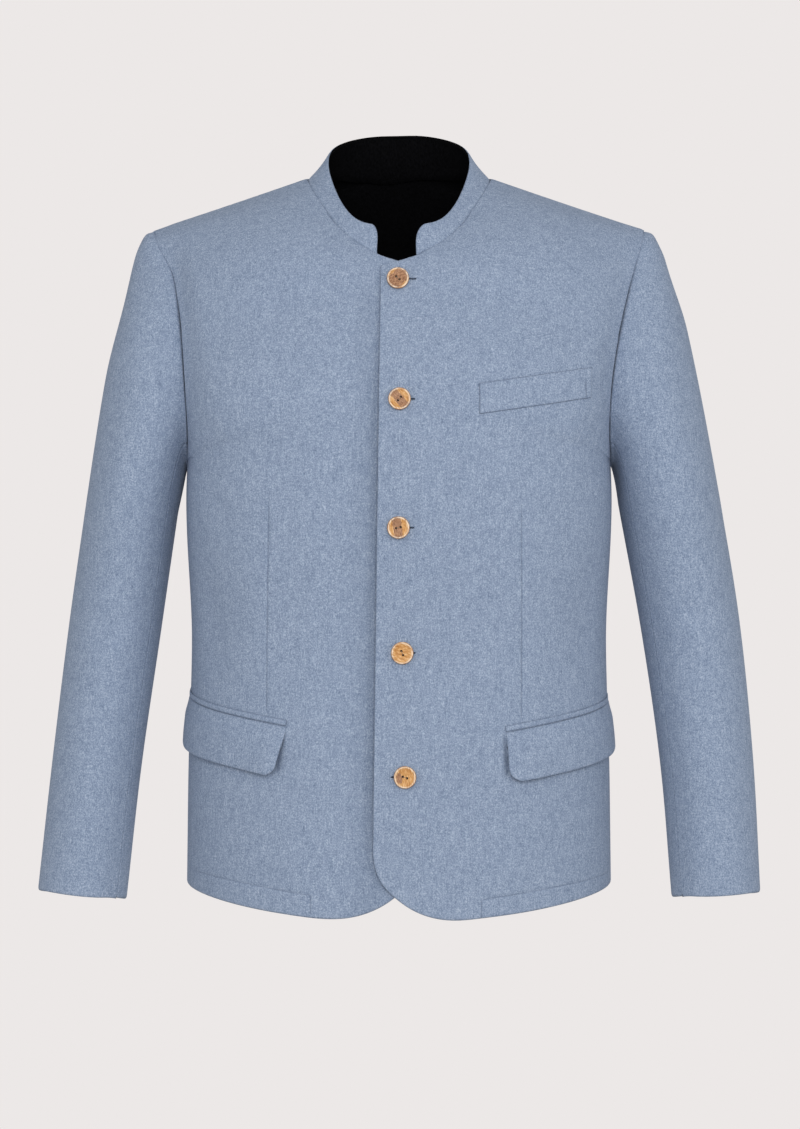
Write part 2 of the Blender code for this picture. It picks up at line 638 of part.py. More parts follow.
def main():
    """Build the jacket's pieces in their own collection."""
    for leftover in list(bpy.data.objects):
        bpy.data.objects.remove(leftover)
    jacket = bpy.data.collections.new("alpine_jacket")
    bpy.context.scene.collection.children.link(jacket)
    wool = cloth_material("wool", (0.26, 0.33, 0.46), 0.9)
    horn = cloth_material("horn", (0.50, 0.32, 0.18), 0.35)
    front = front_panel(LEFT_HEM_CORNER)
    make_fronts(jacket, wool)
    make_back(jacket, wool)
    make_sleeve(LEFT_SLEEVE, jacket, wool)
    make_sleeve(RIGHT_SLEEVE, jacket, wool)
    make_collar(jacket, wool)
    make_lower_pockets(front, jacket, wool)
    make_breast_welt(front, jacket, wool)
    make_buttons(front, jacket, horn)


if __name__ == "__main__":
    main()
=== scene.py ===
"""Looks of the alpine jacket: wool panels with their seams and folds, horn buttons and a plain studio."""

import logging
import math
from dataclasses import dataclass, field
from enum import Enum
from functools import lru_cache
from typing import Iterable, Sequence

import bmesh
import bpy
import numpy as np
from mathutils import Matrix, Vector
from mathutils.bvhtree import BVHTree
from mathutils.kdtree import KDTree


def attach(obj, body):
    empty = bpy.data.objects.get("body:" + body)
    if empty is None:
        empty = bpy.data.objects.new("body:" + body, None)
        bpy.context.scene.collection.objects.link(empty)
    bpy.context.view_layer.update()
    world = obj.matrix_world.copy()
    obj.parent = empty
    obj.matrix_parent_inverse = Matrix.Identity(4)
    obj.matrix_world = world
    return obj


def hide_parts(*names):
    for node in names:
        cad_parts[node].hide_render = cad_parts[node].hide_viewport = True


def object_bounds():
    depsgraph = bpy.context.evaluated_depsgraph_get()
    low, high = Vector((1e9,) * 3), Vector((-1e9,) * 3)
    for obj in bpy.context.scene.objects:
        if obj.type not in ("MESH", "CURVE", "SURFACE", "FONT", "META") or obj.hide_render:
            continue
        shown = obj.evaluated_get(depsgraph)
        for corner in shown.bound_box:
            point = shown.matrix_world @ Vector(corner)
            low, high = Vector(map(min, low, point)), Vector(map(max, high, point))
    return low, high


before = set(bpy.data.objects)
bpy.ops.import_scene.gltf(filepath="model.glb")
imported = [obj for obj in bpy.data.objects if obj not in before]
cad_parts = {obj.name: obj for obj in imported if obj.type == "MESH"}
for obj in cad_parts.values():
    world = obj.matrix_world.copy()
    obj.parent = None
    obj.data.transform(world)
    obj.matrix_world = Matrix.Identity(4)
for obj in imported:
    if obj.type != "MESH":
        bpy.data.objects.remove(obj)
CAD_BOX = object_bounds()

LOG = logging.getLogger("alpine_jacket")
Triple = tuple[float, float, float]

BODY = "root"
SEAM_AND_SHADOW_LAYER = "seam"
RIM_LAYER = "rim"
BLOTCH_LAYER = "blotch"
FACE_MAP = "face"
CREASE_LAYER = "crease_vert"
SLEEVE_NODES = ("sleeve_left_top", "sleeve_left_under", "sleeve_right_top", "sleeve_right_under")

# Photograph's frame, in pixels, and the width of a pixel at the middle of the jacket, in metres
PHOTO_HEIGHT = 1129
PIXEL = 0.00097

# Taking a sheet from its solid: how its first face looks and how broad that is, its edge and its corners
MERGE = 0.00001
SHEET_LOOK = 0.8
SHEET_BROAD = 0.3
SHEET_TURN = math.radians(50.0)
CORNER_TURN = math.radians(38.0)
FIT_ROUNDS = 3
RIM_CUTS = 2

# Shaping the sheet: steps along folds and edges, and how far a pressed line goes beside it and past its ends
FOLD_STEPS = 28
EDGE_SAMPLES = 5
EASE_SHARE = 0.5
LINE_BESIDE = 6.0
LINE_PAST = 0.02
LINE_FADE = 0.01

# Seams: how near a neighbour is, how an edge that goes under it runs, and how much softer some seams are
TUCK_NEAR = 0.0080
TUCK_TOWARDS = 0.3
TUCK_ALONG = 0.2
SOFT_NEAR = 0.0020
SOFT = 0.12
HALF_SOFT = 0.45
FREE_NEAR = 0.0050
SEAM_REACH = 0.0012

# The least turn that stays a sharp edge on a button
SHARP_TURN = math.radians(40.0)

# Mean of a noise texture, and a mix node's sockets for colours: its share, its two colours and its result
NOISE_MEAN = 0.5
MIX_INPUTS = (0, 6, 7)
MIX_OUTPUT = 2


class Facing(Enum):
    """Ways that the outside of a piece looks."""

    FRONT = (0.0, -1.0, 0.0)
    BACK = (0.0, 1.0, 0.0)
    LEFT = (1.0, 0.0, 0.0)
    RIGHT = (-1.0, 0.0, 0.0)


class Trim(Enum):
    """Finishes of a part of a sheet: its outside, its rim and its inside."""

    LINED = ("wool", "wool", "lining")
    # Rim and inside in black lining: painted shade where the cloth's edge shows inside the neck opening
    BOUND = ("wool", "lining", "lining")
    FACED = ("wool", "wool", "wool")

    @property
    def slot(self) -> int:
        """The first of the trim's three material slots."""
        return len(self.value) * list(Trim).index(self)


class Coordinate(Enum):
    """What a finish's pattern follows."""

    PLACE = "Object"
    FACE = "UV"


def ease(values: np.ndarray, start: float, end: float) -> np.ndarray:
    """A smooth step from 0 at the start to 1 at the end.

    Args:
        values: Numbers to place between the start and the end.
        start: Where the step begins.
        end: Where the step is complete.

    Returns:
        A share from 0 to 1 for each number.
    """
    share = np.clip((values - start) / (end - start), 0.0, 1.0)
    return share**2 * (3.0 - 2.0 * share)


class Finish:
    """A material whose nodes are added and joined one at a time."""

    def __init__(self, name: str) -> None:
        """Start the material.

        Args:
            name: The material's name.
        """
        self.material = bpy.data.materials.new(name)
        self.material.use_nodes = True
        self.tree = self.material.node_tree
        self.shader = self.tree.nodes["Principled BSDF"]

    def add(self, kind: str, sockets: dict[str | int, object], **settings: object) -> bpy.types.Node:
        """Add a node.

        Args:
            kind: The node's type.
            sockets: Values or output sockets for its inputs, by name or number.
            settings: Values of the node's own properties.

        Returns:
            The new node.
        """
        node = self.tree.nodes.new(kind)
        for name, value in settings.items():
            setattr(node, name, value)
        for name, value in sockets.items():
            self.put(node.inputs[name], value)
        return node

    def put(self, socket: bpy.types.NodeSocket, value: object) -> None:
        """Set an input to a value, or join it to another node's output.

        Args:
            socket: The input.
            value: A plain value or an output socket.
        """
        if isinstance(value, bpy.types.NodeSocket):
            self.tree.links.new(value, socket)
        else:
            socket.default_value = value

    def place(self, follows: Coordinate, stretch: Triple) -> bpy.types.NodeSocket:
        """Coordinates for a pattern.

        Args:
            follows: What the pattern follows.
            stretch: The pattern's scale along each axis.

        Returns:
            The stretched coordinates.
        """
        source = self.add("ShaderNodeTexCoord", {}).outputs[follows.value]
        return self.add("ShaderNodeMapping", {"Vector": source, "Scale": stretch}).outputs["Vector"]

    def noise(self, where: bpy.types.NodeSocket, scale: float, detail: float) -> bpy.types.NodeSocket:
        """Soft noise.

        Args:
            where: The coordinates that it reads.
            scale: Spots in a metre.
            detail: Finer layers.

        Returns:
            The noise, about 0.5 in the mean.
        """
        return self.add("ShaderNodeTexNoise", {"Vector": where, "Scale": scale, "Detail": detail}).outputs[0]

    def sum(
        self, noises: Sequence[bpy.types.NodeSocket], weights: Sequence[float], start: float
    ) -> bpy.types.NodeSocket:
        """A weighted sum of noises, each counted from its mean.

        Args:
            noises: The noises.
            weights: Their weights, for as many as are summed.
            start: What is added to them.

        Returns:
            The sum.
        """
        total: object = start - NOISE_MEAN * math.fsum(weights)
        for value, weight in zip(noises, weights):
            total = self.compute("MULTIPLY_ADD", value, weight, total)
        return total

    def ramp(
        self, value: bpy.types.NodeSocket, stops: Sequence[float], colours: Sequence[Triple]
    ) -> bpy.types.NodeSocket:
        """Colours along a ramp.

        Args:
            value: Where on the ramp to read.
            stops: Places on the ramp.
            colours: The colour at each place.

        Returns:
            The colour.
        """
        node = self.add("ShaderNodeValToRGB", {0: value})
        marks = node.color_ramp.elements
        while len(marks) < len(stops):
            marks.new(1.0)
        for mark, place, colour in zip(marks, stops, colours):
            mark.position = place
            mark.color = (*colour, 1.0)
        return node.outputs[0]

    def greys(
        self, value: bpy.types.NodeSocket, stops: Sequence[float], shares: Sequence[float]
    ) -> bpy.types.NodeSocket:
        """Shares along a ramp, as greys.

        Args:
            value: Where on the ramp to read.
            stops: Places on the ramp.
            shares: The share at each place.

        Returns:
            The share.
        """
        return self.ramp(value, stops, [(share, share, share) for share in shares])

    def compute(self, operation: str, *values: object) -> bpy.types.NodeSocket:
        """A sum worked out by a node.

        Args:
            operation: What the node does.
            values: Plain values or output sockets that it works on.

        Returns:
            The result.
        """
        return self.add("ShaderNodeMath", dict(enumerate(values)), operation=operation).outputs[0]

    def mix(self, share: object, first: object, second: object) -> bpy.types.NodeSocket:
        """A mix of two colours.

        Args:
            share: How much of the second colour.
            first: The first colour.
            second: The second colour.

        Returns:
            The mixed colour.
        """
        node = self.add("ShaderNodeMix", {}, data_type="RGBA")
        for number, value in zip(MIX_INPUTS, (share, first, second)):
            self.put(node.inputs[number], value)
        return node.outputs[MIX_OUTPUT]

    def paint(self, colour: bpy.types.NodeSocket, roughness: float, gloss: float) -> None:
        """Give the surface its colour, and say how rough it is and how much it mirrors.

        Args:
            colour: The colour.
            roughness: The surface's roughness.
            gloss: How much it mirrors.
        """
        self.put(self.shader.inputs["Base Color"], colour)
        self.put(self.shader.inputs["Roughness"], roughness)
        self.put(self.shader.inputs["Specular IOR Level"], gloss)

    def bump(self, height: bpy.types.NodeSocket, strength: float, distance: float) -> None:
        """Give the surface a fine relief.

        Args:
            height: The relief's height.
            strength: Its strength.
            distance: Its depth in metres.
        """
        node = self.add("ShaderNodeBump", {"Height": height, "Strength": strength, "Distance": distance})
        self.put(self.shader.inputs["Normal"], node.outputs[0])


@dataclass(frozen=True)
class WoolFinish:
    """Melange wool: pale and dark fibres in a soft felted weave, darker where it is sewn, and with painted
    shadow beside the lap and the pocket flaps.
    """

    name: str = "melange_wool"
    dark: Triple = (0.130, 0.178, 0.270)
    middle: Triple = (0.262, 0.326, 0.446)
    pale: Triple = (0.455, 0.525, 0.640)
    # seam_shade is the colour of dark seams, and also of the painted shadow beside the lap and the pocket
    # flaps
    seam_shade: Triple = (0.085, 0.115, 0.175)
    stops: Triple = (0.14, 0.50, 0.86)
    fibre_scale: float = 980.0
    fibre_stretch: Triple = (1.0, 1.0, 0.75)
    yarn_scale: float = 520.0
    warp_stretch: Triple = (1.0, 1.0, 0.16)
    weft_stretch: Triple = (0.30, 0.30, 1.5)
    yarn_detail: float = 2.0
    cloud_scale: float = 110.0
    cloud_stretch: Triple = (1.0, 1.0, 0.8)
    cloud_detail: float = 3.0
    shade_middle: float = 0.49
    shade_weights: tuple[float, ...] = (1.20, 0.34, 0.26, 0.16)
    relief_weights: Triple = (1.0, 0.5, 0.5)
    relief: float = 0.35
    relief_depth: float = 0.0006
    roughness: float = 0.95
    gloss: float = 0.12
    sheen: float = 0.10
    sheen_roughness: float = 0.55
    sheen_tint: Triple = (0.78, 0.84, 0.93)

    def material(self) -> bpy.types.Material:
        """Build the wool.

        Returns:
            The material.
        """
        finish = Finish(self.name)
        layers = [
            finish.noise(finish.place(Coordinate.PLACE, stretch), scale, detail)
            for stretch, scale, detail in (
                (self.fibre_stretch, self.fibre_scale, self.yarn_detail),
                (self.warp_stretch, self.yarn_scale, self.yarn_detail),
                (self.weft_stretch, self.yarn_scale, self.yarn_detail),
                (self.cloud_stretch, self.cloud_scale, self.cloud_detail),
            )
        ]
        shade = finish.sum(layers, self.shade_weights, self.shade_middle)
        colour = finish.ramp(shade, self.stops, (self.dark, self.middle, self.pale))
        # The seam layer darkens sewn seams and lines, and holds the painted shadow beside the lap and the
        # pocket flaps
        seam = finish.add("ShaderNodeAttribute", {}, attribute_name=SEAM_AND_SHADOW_LAYER).outputs["Fac"]
        finish.paint(finish.mix(seam, colour, (*self.seam_shade, 1.0)), self.roughness, self.gloss)
        finish.put(finish.shader.inputs["Sheen Weight"], self.sheen)
        finish.put(finish.shader.inputs["Sheen Roughness"], self.sheen_roughness)
        finish.put(finish.shader.inputs["Sheen Tint"], (*self.sheen_tint, 1.0))
        height = finish.sum(layers, self.relief_weights, NOISE_MEAN)
        finish.bump(height, self.relief, self.relief_depth)
        return finish.material


@dataclass(frozen=True)
class HornFinish:
    """Polished horn: a brown heart band, amber sides, a paler rim painted as a patchy highlight, and a dark
    lip that is partly painted shade.
    """

    name: str = "streaked_horn"
    heart: Triple = (0.245, 0.116, 0.062)
    brown: Triple = (0.475, 0.258, 0.142)
    amber: Triple = (0.440, 0.185, 0.050)
    honey: Triple = (0.640, 0.325, 0.110)
    cream: Triple = (0.860, 0.590, 0.310)
    # The pale rim colour is a painted highlight
    rim: Triple = (0.900, 0.740, 0.570)
    # Dark lip colour: partly the horn's own brown at its edge, partly painted shade at the outline
    turned_edge_and_shade: Triple = (0.300, 0.150, 0.075)
    streak_stretch: Triple = (1.5, 0.9, 1.0)
    streak_scale: float = 1.6
    streak_detail: float = 4.0
    grain_stretch: Triple = (3.6, 1.4, 1.0)
    grain_scale: float = 2.4
    grain_detail: float = 3.0
    wander: tuple[float, float] = (0.30, 0.22)
    band_weight: float = 0.4
    band_stops: tuple[float, float] = (0.36, 0.43)
    dark_stops: tuple[float, float] = (0.42, 0.58)
    tone_weights: tuple[float, float] = (1.0, 0.9)
    light_stops: Triple = (0.30, 0.52, 0.78)
    highlight_patch_stops: tuple[float, float] = (0.36, 0.58)
    highlight_patches: tuple[float, float] = (0.20, 0.92)
    rim_stops: tuple[float, ...] = (0.0, 0.40, 0.70, 0.80)
    lip_stops: tuple[float, float] = (0.74, 0.95)
    lip: float = 0.85
    relief: float = 0.08
    relief_depth: float = 0.0002
    roughness: float = 0.26
    gloss: float = 0.5

    def material(self) -> bpy.types.Material:
        """Build the horn.

        Returns:
            The material.
        """
        finish = Finish(self.name)
        band = self.band(finish)
        streak_place = finish.place(Coordinate.FACE, self.streak_stretch)
        streak = finish.noise(streak_place, self.streak_scale, self.streak_detail)
        grain_place = finish.place(Coordinate.FACE, self.grain_stretch)
        grain = finish.noise(grain_place, self.grain_scale, self.grain_detail)
        wander = finish.sum((streak, grain), self.wander, 0.0)
        reach = finish.compute("MULTIPLY_ADD", band, self.band_weight, wander)
        heart_part = finish.greys(reach, self.band_stops, (1.0, 0.0))
        dark = finish.ramp(grain, self.dark_stops, (self.heart, self.brown))
        tone = finish.sum((streak, grain), self.tone_weights, NOISE_MEAN)
        light = finish.ramp(tone, self.light_stops, (self.amber, self.honey, self.cream))
        edge = finish.add("ShaderNodeAttribute", {}, attribute_name=RIM_LAYER).outputs["Fac"]
        # The pale rim is a painted highlight, in patches by the streak noise
        patchy_highlight = finish.greys(streak, self.highlight_patch_stops, self.highlight_patches)
        raised = finish.greys(edge, self.rim_stops, (0.0, 1.0, 1.0, 0.0))
        # The dark outer lip is partly the horn's own colour at its edge, partly painted shade at the button's
        # outline
        lip = finish.greys(edge, self.lip_stops, (0.0, self.lip))
        colour = finish.mix(heart_part, light, dark)
        colour = finish.mix(finish.compute("MULTIPLY", raised, patchy_highlight), colour, (*self.rim, 1.0))
        finish.paint(finish.mix(lip, colour, (*self.turned_edge_and_shade, 1.0)), self.roughness, self.gloss)
        finish.bump(grain, self.relief, self.relief_depth)
        return finish.material

    def band(self, finish: Finish) -> bpy.types.NodeSocket:
        """How far a spot lies from the middle of the brown band.

        Args:
            finish: The horn's material.

        Returns:
            The distance, 1 at the band's side.
        """
        place = finish.place(Coordinate.FACE, (1.0, 1.0, 1.0))
        across = finish.add("ShaderNodeSeparateXYZ", {0: place}).outputs[0]
        along = finish.add("ShaderNodeAttribute", {}, attribute_name=BLOTCH_LAYER).outputs["Fac"]
        square = finish.compute("MULTIPLY", across, across)
        return finish.compute("SQRT", finish.compute("MULTIPLY_ADD", along, along, square))


@dataclass(frozen=True)
class ThreadFinish:
    """Threads in two tones, by default twisted sewing thread."""

    name: str
    dark: Triple
    pale: Triple
    stops: tuple[float, float] = (0.3, 0.7)
    scale: float = 1400.0
    stretch: Triple = (1.0, 1.0, 1.0)
    detail: float = 2.0
    relief: float = 0.3
    relief_depth: float = 0.0002
    roughness: float = 0.8
    gloss: float = 0.2

    def material(self) -> bpy.types.Material:
        """Build the threads.

        Returns:
            The material.
        """
        finish = Finish(self.name)
        twist = finish.noise(finish.place(Coordinate.PLACE, self.stretch), self.scale, self.detail)
        finish.paint(finish.ramp(twist, self.stops, (self.dark, self.pale)), self.roughness, self.gloss)
        finish.bump(twist, self.relief, self.relief_depth)
        return finish.material


@dataclass(frozen=True)
class LiningFinish(ThreadFinish):
    """Near-black twill, the lining on the inside of the cloth: partly the lining's own black, partly painted
    shade, so the neck opening reads black.
    """

    name: str = "black_lining_and_shade"
    dark: Triple = (0.0012, 0.0012, 0.0015)
    pale: Triple = (0.0040, 0.0040, 0.0048)
    scale: float = 900.0
    stretch: Triple = (1.0, 1.0, 0.4)
    detail: float = 1.0
    relief: float = 0.2
    roughness: float = 0.85
    gloss: float = 0.05


@dataclass(frozen=True)
class Fold:
    """A soft ridge, or a trough where its height is negative, along a bent line close to the cloth."""

    name: str
    start: Triple
    middle: Triple
    end: Triple
    reach: float
    height: float
    fade: float = 0.45

    def lift(self, points: np.ndarray) -> np.ndarray:
        """Height of the fold.

        Args:
            points: Points of the cloth, in rows.

        Returns:
            How far each point moves out.
        """
        share = np.linspace(0.0, 1.0, FOLD_STEPS)[:, None]
        first, bend, last = (np.array(place) for place in (self.start, self.middle, self.end))
        pull = 2.0 * bend - 0.5 * (first + last)
        line = first * (1.0 - share) ** 2 + 2.0 * pull * share * (1.0 - share) + last * share**2
        gaps = np.linalg.norm(points[:, None] - line[None], axis=2)
        nearest = gaps.argmin(axis=1)
        along = share[nearest, 0]
        window = ease(along, 0.0, self.fade) * ease(1.0 - along, 0.0, self.fade)
        return self.height * window * np.exp(-((gaps.min(axis=1) / self.reach) ** 2))


@dataclass(frozen=True)
class PressedLine:
    """A sewn line pressed into a panel, or a band of painted shadow beside an edge, from a top to a foot,
    seen from the front.
    """

    name: str
    top_x: float
    top_z: float
    foot_x: float
    foot_z: float
    depth: float = 0.0007
    half_width: float = 0.0011
    shade: float = 0.55
    fade: float = 0.18

    def offsets(self, points: np.ndarray) -> tuple[np.ndarray, np.ndarray]:
        """Where points lie from the line.

        Args:
            points: Points of the cloth, in rows.

        Returns:
            Distances across the line and shares of the way down it.
        """
        top = np.array((self.top_x, self.top_z))
        run = np.array((self.foot_x, self.foot_z)) - top
        length = np.linalg.norm(run)
        run /= length
        away = points[:, (0, 2)] - top
        return away @ np.array((run[1], -run[0])), away @ run / length

    def cut(self, edit: bmesh.types.BMesh) -> None:
        """Cut the panel along the line and on both sides of it.

        Args:
            edit: The panel's sheet.
        """
        down = Vector((self.foot_x - self.top_x, 0.0, self.foot_z - self.top_z)).normalized()
        across = Vector((down.z, 0.0, -down.x))
        for side in (-self.half_width, 0.0, self.half_width):
            middles = np.array([face.calc_center_median() for face in edit.faces])
            gaps, shares = self.offsets(middles)
            beside = np.abs(gaps) < LINE_BESIDE * self.half_width
            near = beside & (shares > -LINE_PAST) & (shares < 1.0 + LINE_PAST)
            edit.faces.ensure_lookup_table()
            faces = [edit.faces[number] for number in np.flatnonzero(near)]
            geometry = {part for face in faces for part in (*face.verts, *face.edges)} | set(faces)
            point = Vector((self.top_x, 0.0, self.top_z)) + across * side
            bmesh.ops.bisect_plane(edit, geom=list(geometry), dist=MERGE, plane_co=point, plane_no=across)

    def press(self, points: np.ndarray) -> np.ndarray:
        """How strongly the line shows.

        Args:
            points: Points of the cloth, in rows.

        Returns:
            A share from 0 to 1 for each point.
        """
        gaps, shares = self.offsets(points)
        window = ease(shares, -LINE_FADE, self.fade) * ease(1.0 - shares, -LINE_FADE, LINE_PAST)
        return window * np.clip(1.0 - np.abs(gaps) / self.half_width, 0.0, 1.0)


@dataclass(frozen=True)
class Cut:
    """What a piece was cut to: width, length and area, in metres."""

    width: float
    length: float
    area: float


@dataclass(frozen=True)
class CuffLevel:
    """A level cuff: how far its front drops and its back rises, fading out above it."""

    drop: float = 0.0076
    rise: float = 0.0055
    fade: float = 0.080
    front_power: float = 1.3
    back_power: float = 2.0

    def apply(self, points: np.ndarray, normals: np.ndarray) -> np.ndarray:
        """Level the foot of a sleeve.

        Args:
            points: The sheet's points, in rows.
            normals: The directions that they look in.

        Returns:
            The moved points.
        """
        foot = points[:, 2].min()
        share = 1.0 - ease(points[:, 2], foot, foot + self.fade)
        front = np.clip(-normals[:, 1], 0.0, 1.0) ** self.front_power
        hind = np.clip(normals[:, 1], 0.0, 1.0) ** self.back_power
        moved = points.copy()
        moved[:, 2] += share * (self.rise * hind - self.drop * front)
        return moved


@dataclass(frozen=True)
class Flare:
    """A spot that stands off, goes in where its lift is negative, or moves one way."""

    spot: Triple
    reach: float
    lift: float
    way: Triple | None = None

    def apply(self, points: np.ndarray, normals: np.ndarray) -> np.ndarray:
        """Lift the spot.

        Args:
            points: The sheet's points, in rows.
            normals: The directions that they look in.

        Returns:
            The moved points.
        """
        away = np.linalg.norm(points - np.array(self.spot), axis=1)
        ways = np.array(self.way) if self.way else normals
        return points + ways * (self.lift * (1.0 - ease(away, 0.0, self.reach)))[:, None]


def shoulder_ends() -> dict[str, Flare]:
    """The moves of the two shoulder ends, by side."""
    return {
        "left": Flare((0.2385, 0.000, -0.0470), 0.028, 0.0004),
        "right": Flare((-0.2385, 0.000, -0.0470), 0.028, -0.0010),
    }


@dataclass(frozen=True)
class Bow:
    """An armhole seam that bows in across the front: its side, how far, and where that begins and ends."""

    side: float
    shift: float
    foot: tuple[float, float]
    top: tuple[float, float]
    seam: float = 0.2456
    lean: float = 0.174
    reach: float = 0.038
    depth: tuple[float, float] = (-0.034, 0.002)

    def apply(self, points: np.ndarray, normals: np.ndarray) -> np.ndarray:
        """Bow the seam, with the cloth on both sides of it.

        Args:
            points: The sheet's points, in rows.
            normals: The directions that they look in, not used here.

        Returns:
            The moved points.
        """
        away = np.abs(points[:, 0] * self.side - self.seam - self.lean * points[:, 2])
        share = (1.0 - ease(away, 0.0, self.reach)) * (1.0 - ease(points[:, 1], *self.depth))
        share *= ease(points[:, 2], *self.foot) * (1.0 - ease(points[:, 2], *self.top))
        moved = points.copy()
        moved[:, 0] -= self.side * self.shift * share
        return moved


def armhole_bows() -> dict[str, Bow]:
    """The bows of the two armhole seams, by side."""
    return {
        "left": Bow(1.0, 0.0078, (-0.285, -0.180), (-0.170, -0.020)),
        "right": Bow(-1.0, 0.0115, (-0.285, -0.115), (-0.098, -0.038)),
    }


@dataclass(frozen=True)
class Slant:
    """A front edge that runs aslant: where it lies, and how far it moves at its top and foot."""

    edge: float = -0.0205
    top: float = -0.0900
    foot: float = -0.6000
    top_shift: float = 0.0034
    foot_shift: float = -0.0034
    reach: float = 0.024

    def apply(self, points: np.ndarray, normals: np.ndarray) -> np.ndarray:
        """Slant the edge.

        Args:
            points: The sheet's points, in rows.
            normals: The directions that they look in, not used here.

        Returns:
            The moved points.
        """
        share = np.clip((points[:, 2] - self.foot) / (self.top - self.foot), 0.0, 1.0)
        shift = self.foot_shift + (self.top_shift - self.foot_shift) * share
        moved = points.copy()
        moved[:, 0] += shift * (1.0 - ease(points[:, 0] - self.edge, 0.0, self.reach))
        return moved


@dataclass(frozen=True)
class Hinge:
    """The sewn top of a flap, which goes in under a strip: the strip, how deep and how soon it comes out."""

    strip: str
    depth: float = 0.0028
    reach: float = 0.020

    def apply(self, points: np.ndarray, normals: np.ndarray) -> np.ndarray:
        """Lower the top of the flap.

        Args:
            points: The sheet's points, in rows.
            normals: The directions that they look in.

        Returns:
            The moved points.
        """
        surface = solid_surface(self.strip)
        away = np.array([surface.find_nearest(Vector(point))[3] for point in points])
        return points - normals * (self.depth * (1.0 - ease(away, 0.0, self.reach)))[:, None]


@dataclass(frozen=True)
class EasedSpot:
    """A spot where the cloth is eased smooth: where it is, its reach and in how many rounds."""

    spot: Triple
    reach: float
    rounds: int

    def ease(self, edit: bmesh.types.BMesh) -> None:
        """Smooth the spot, apart from the sheet's edge.

        Args:
            edit: The sheet.
        """
        middle = Vector(self.spot)
        inner = [point for point in edit.verts if not point.is_boundary]
        near = [point for point in inner if (point.co - middle).length < self.reach]
        axes = {f"use_axis_{axis}": True for axis in "xyz"}
        for _ in range(self.rounds):
            bmesh.ops.smooth_vert(edit, verts=near, factor=EASE_SHARE, **axes)


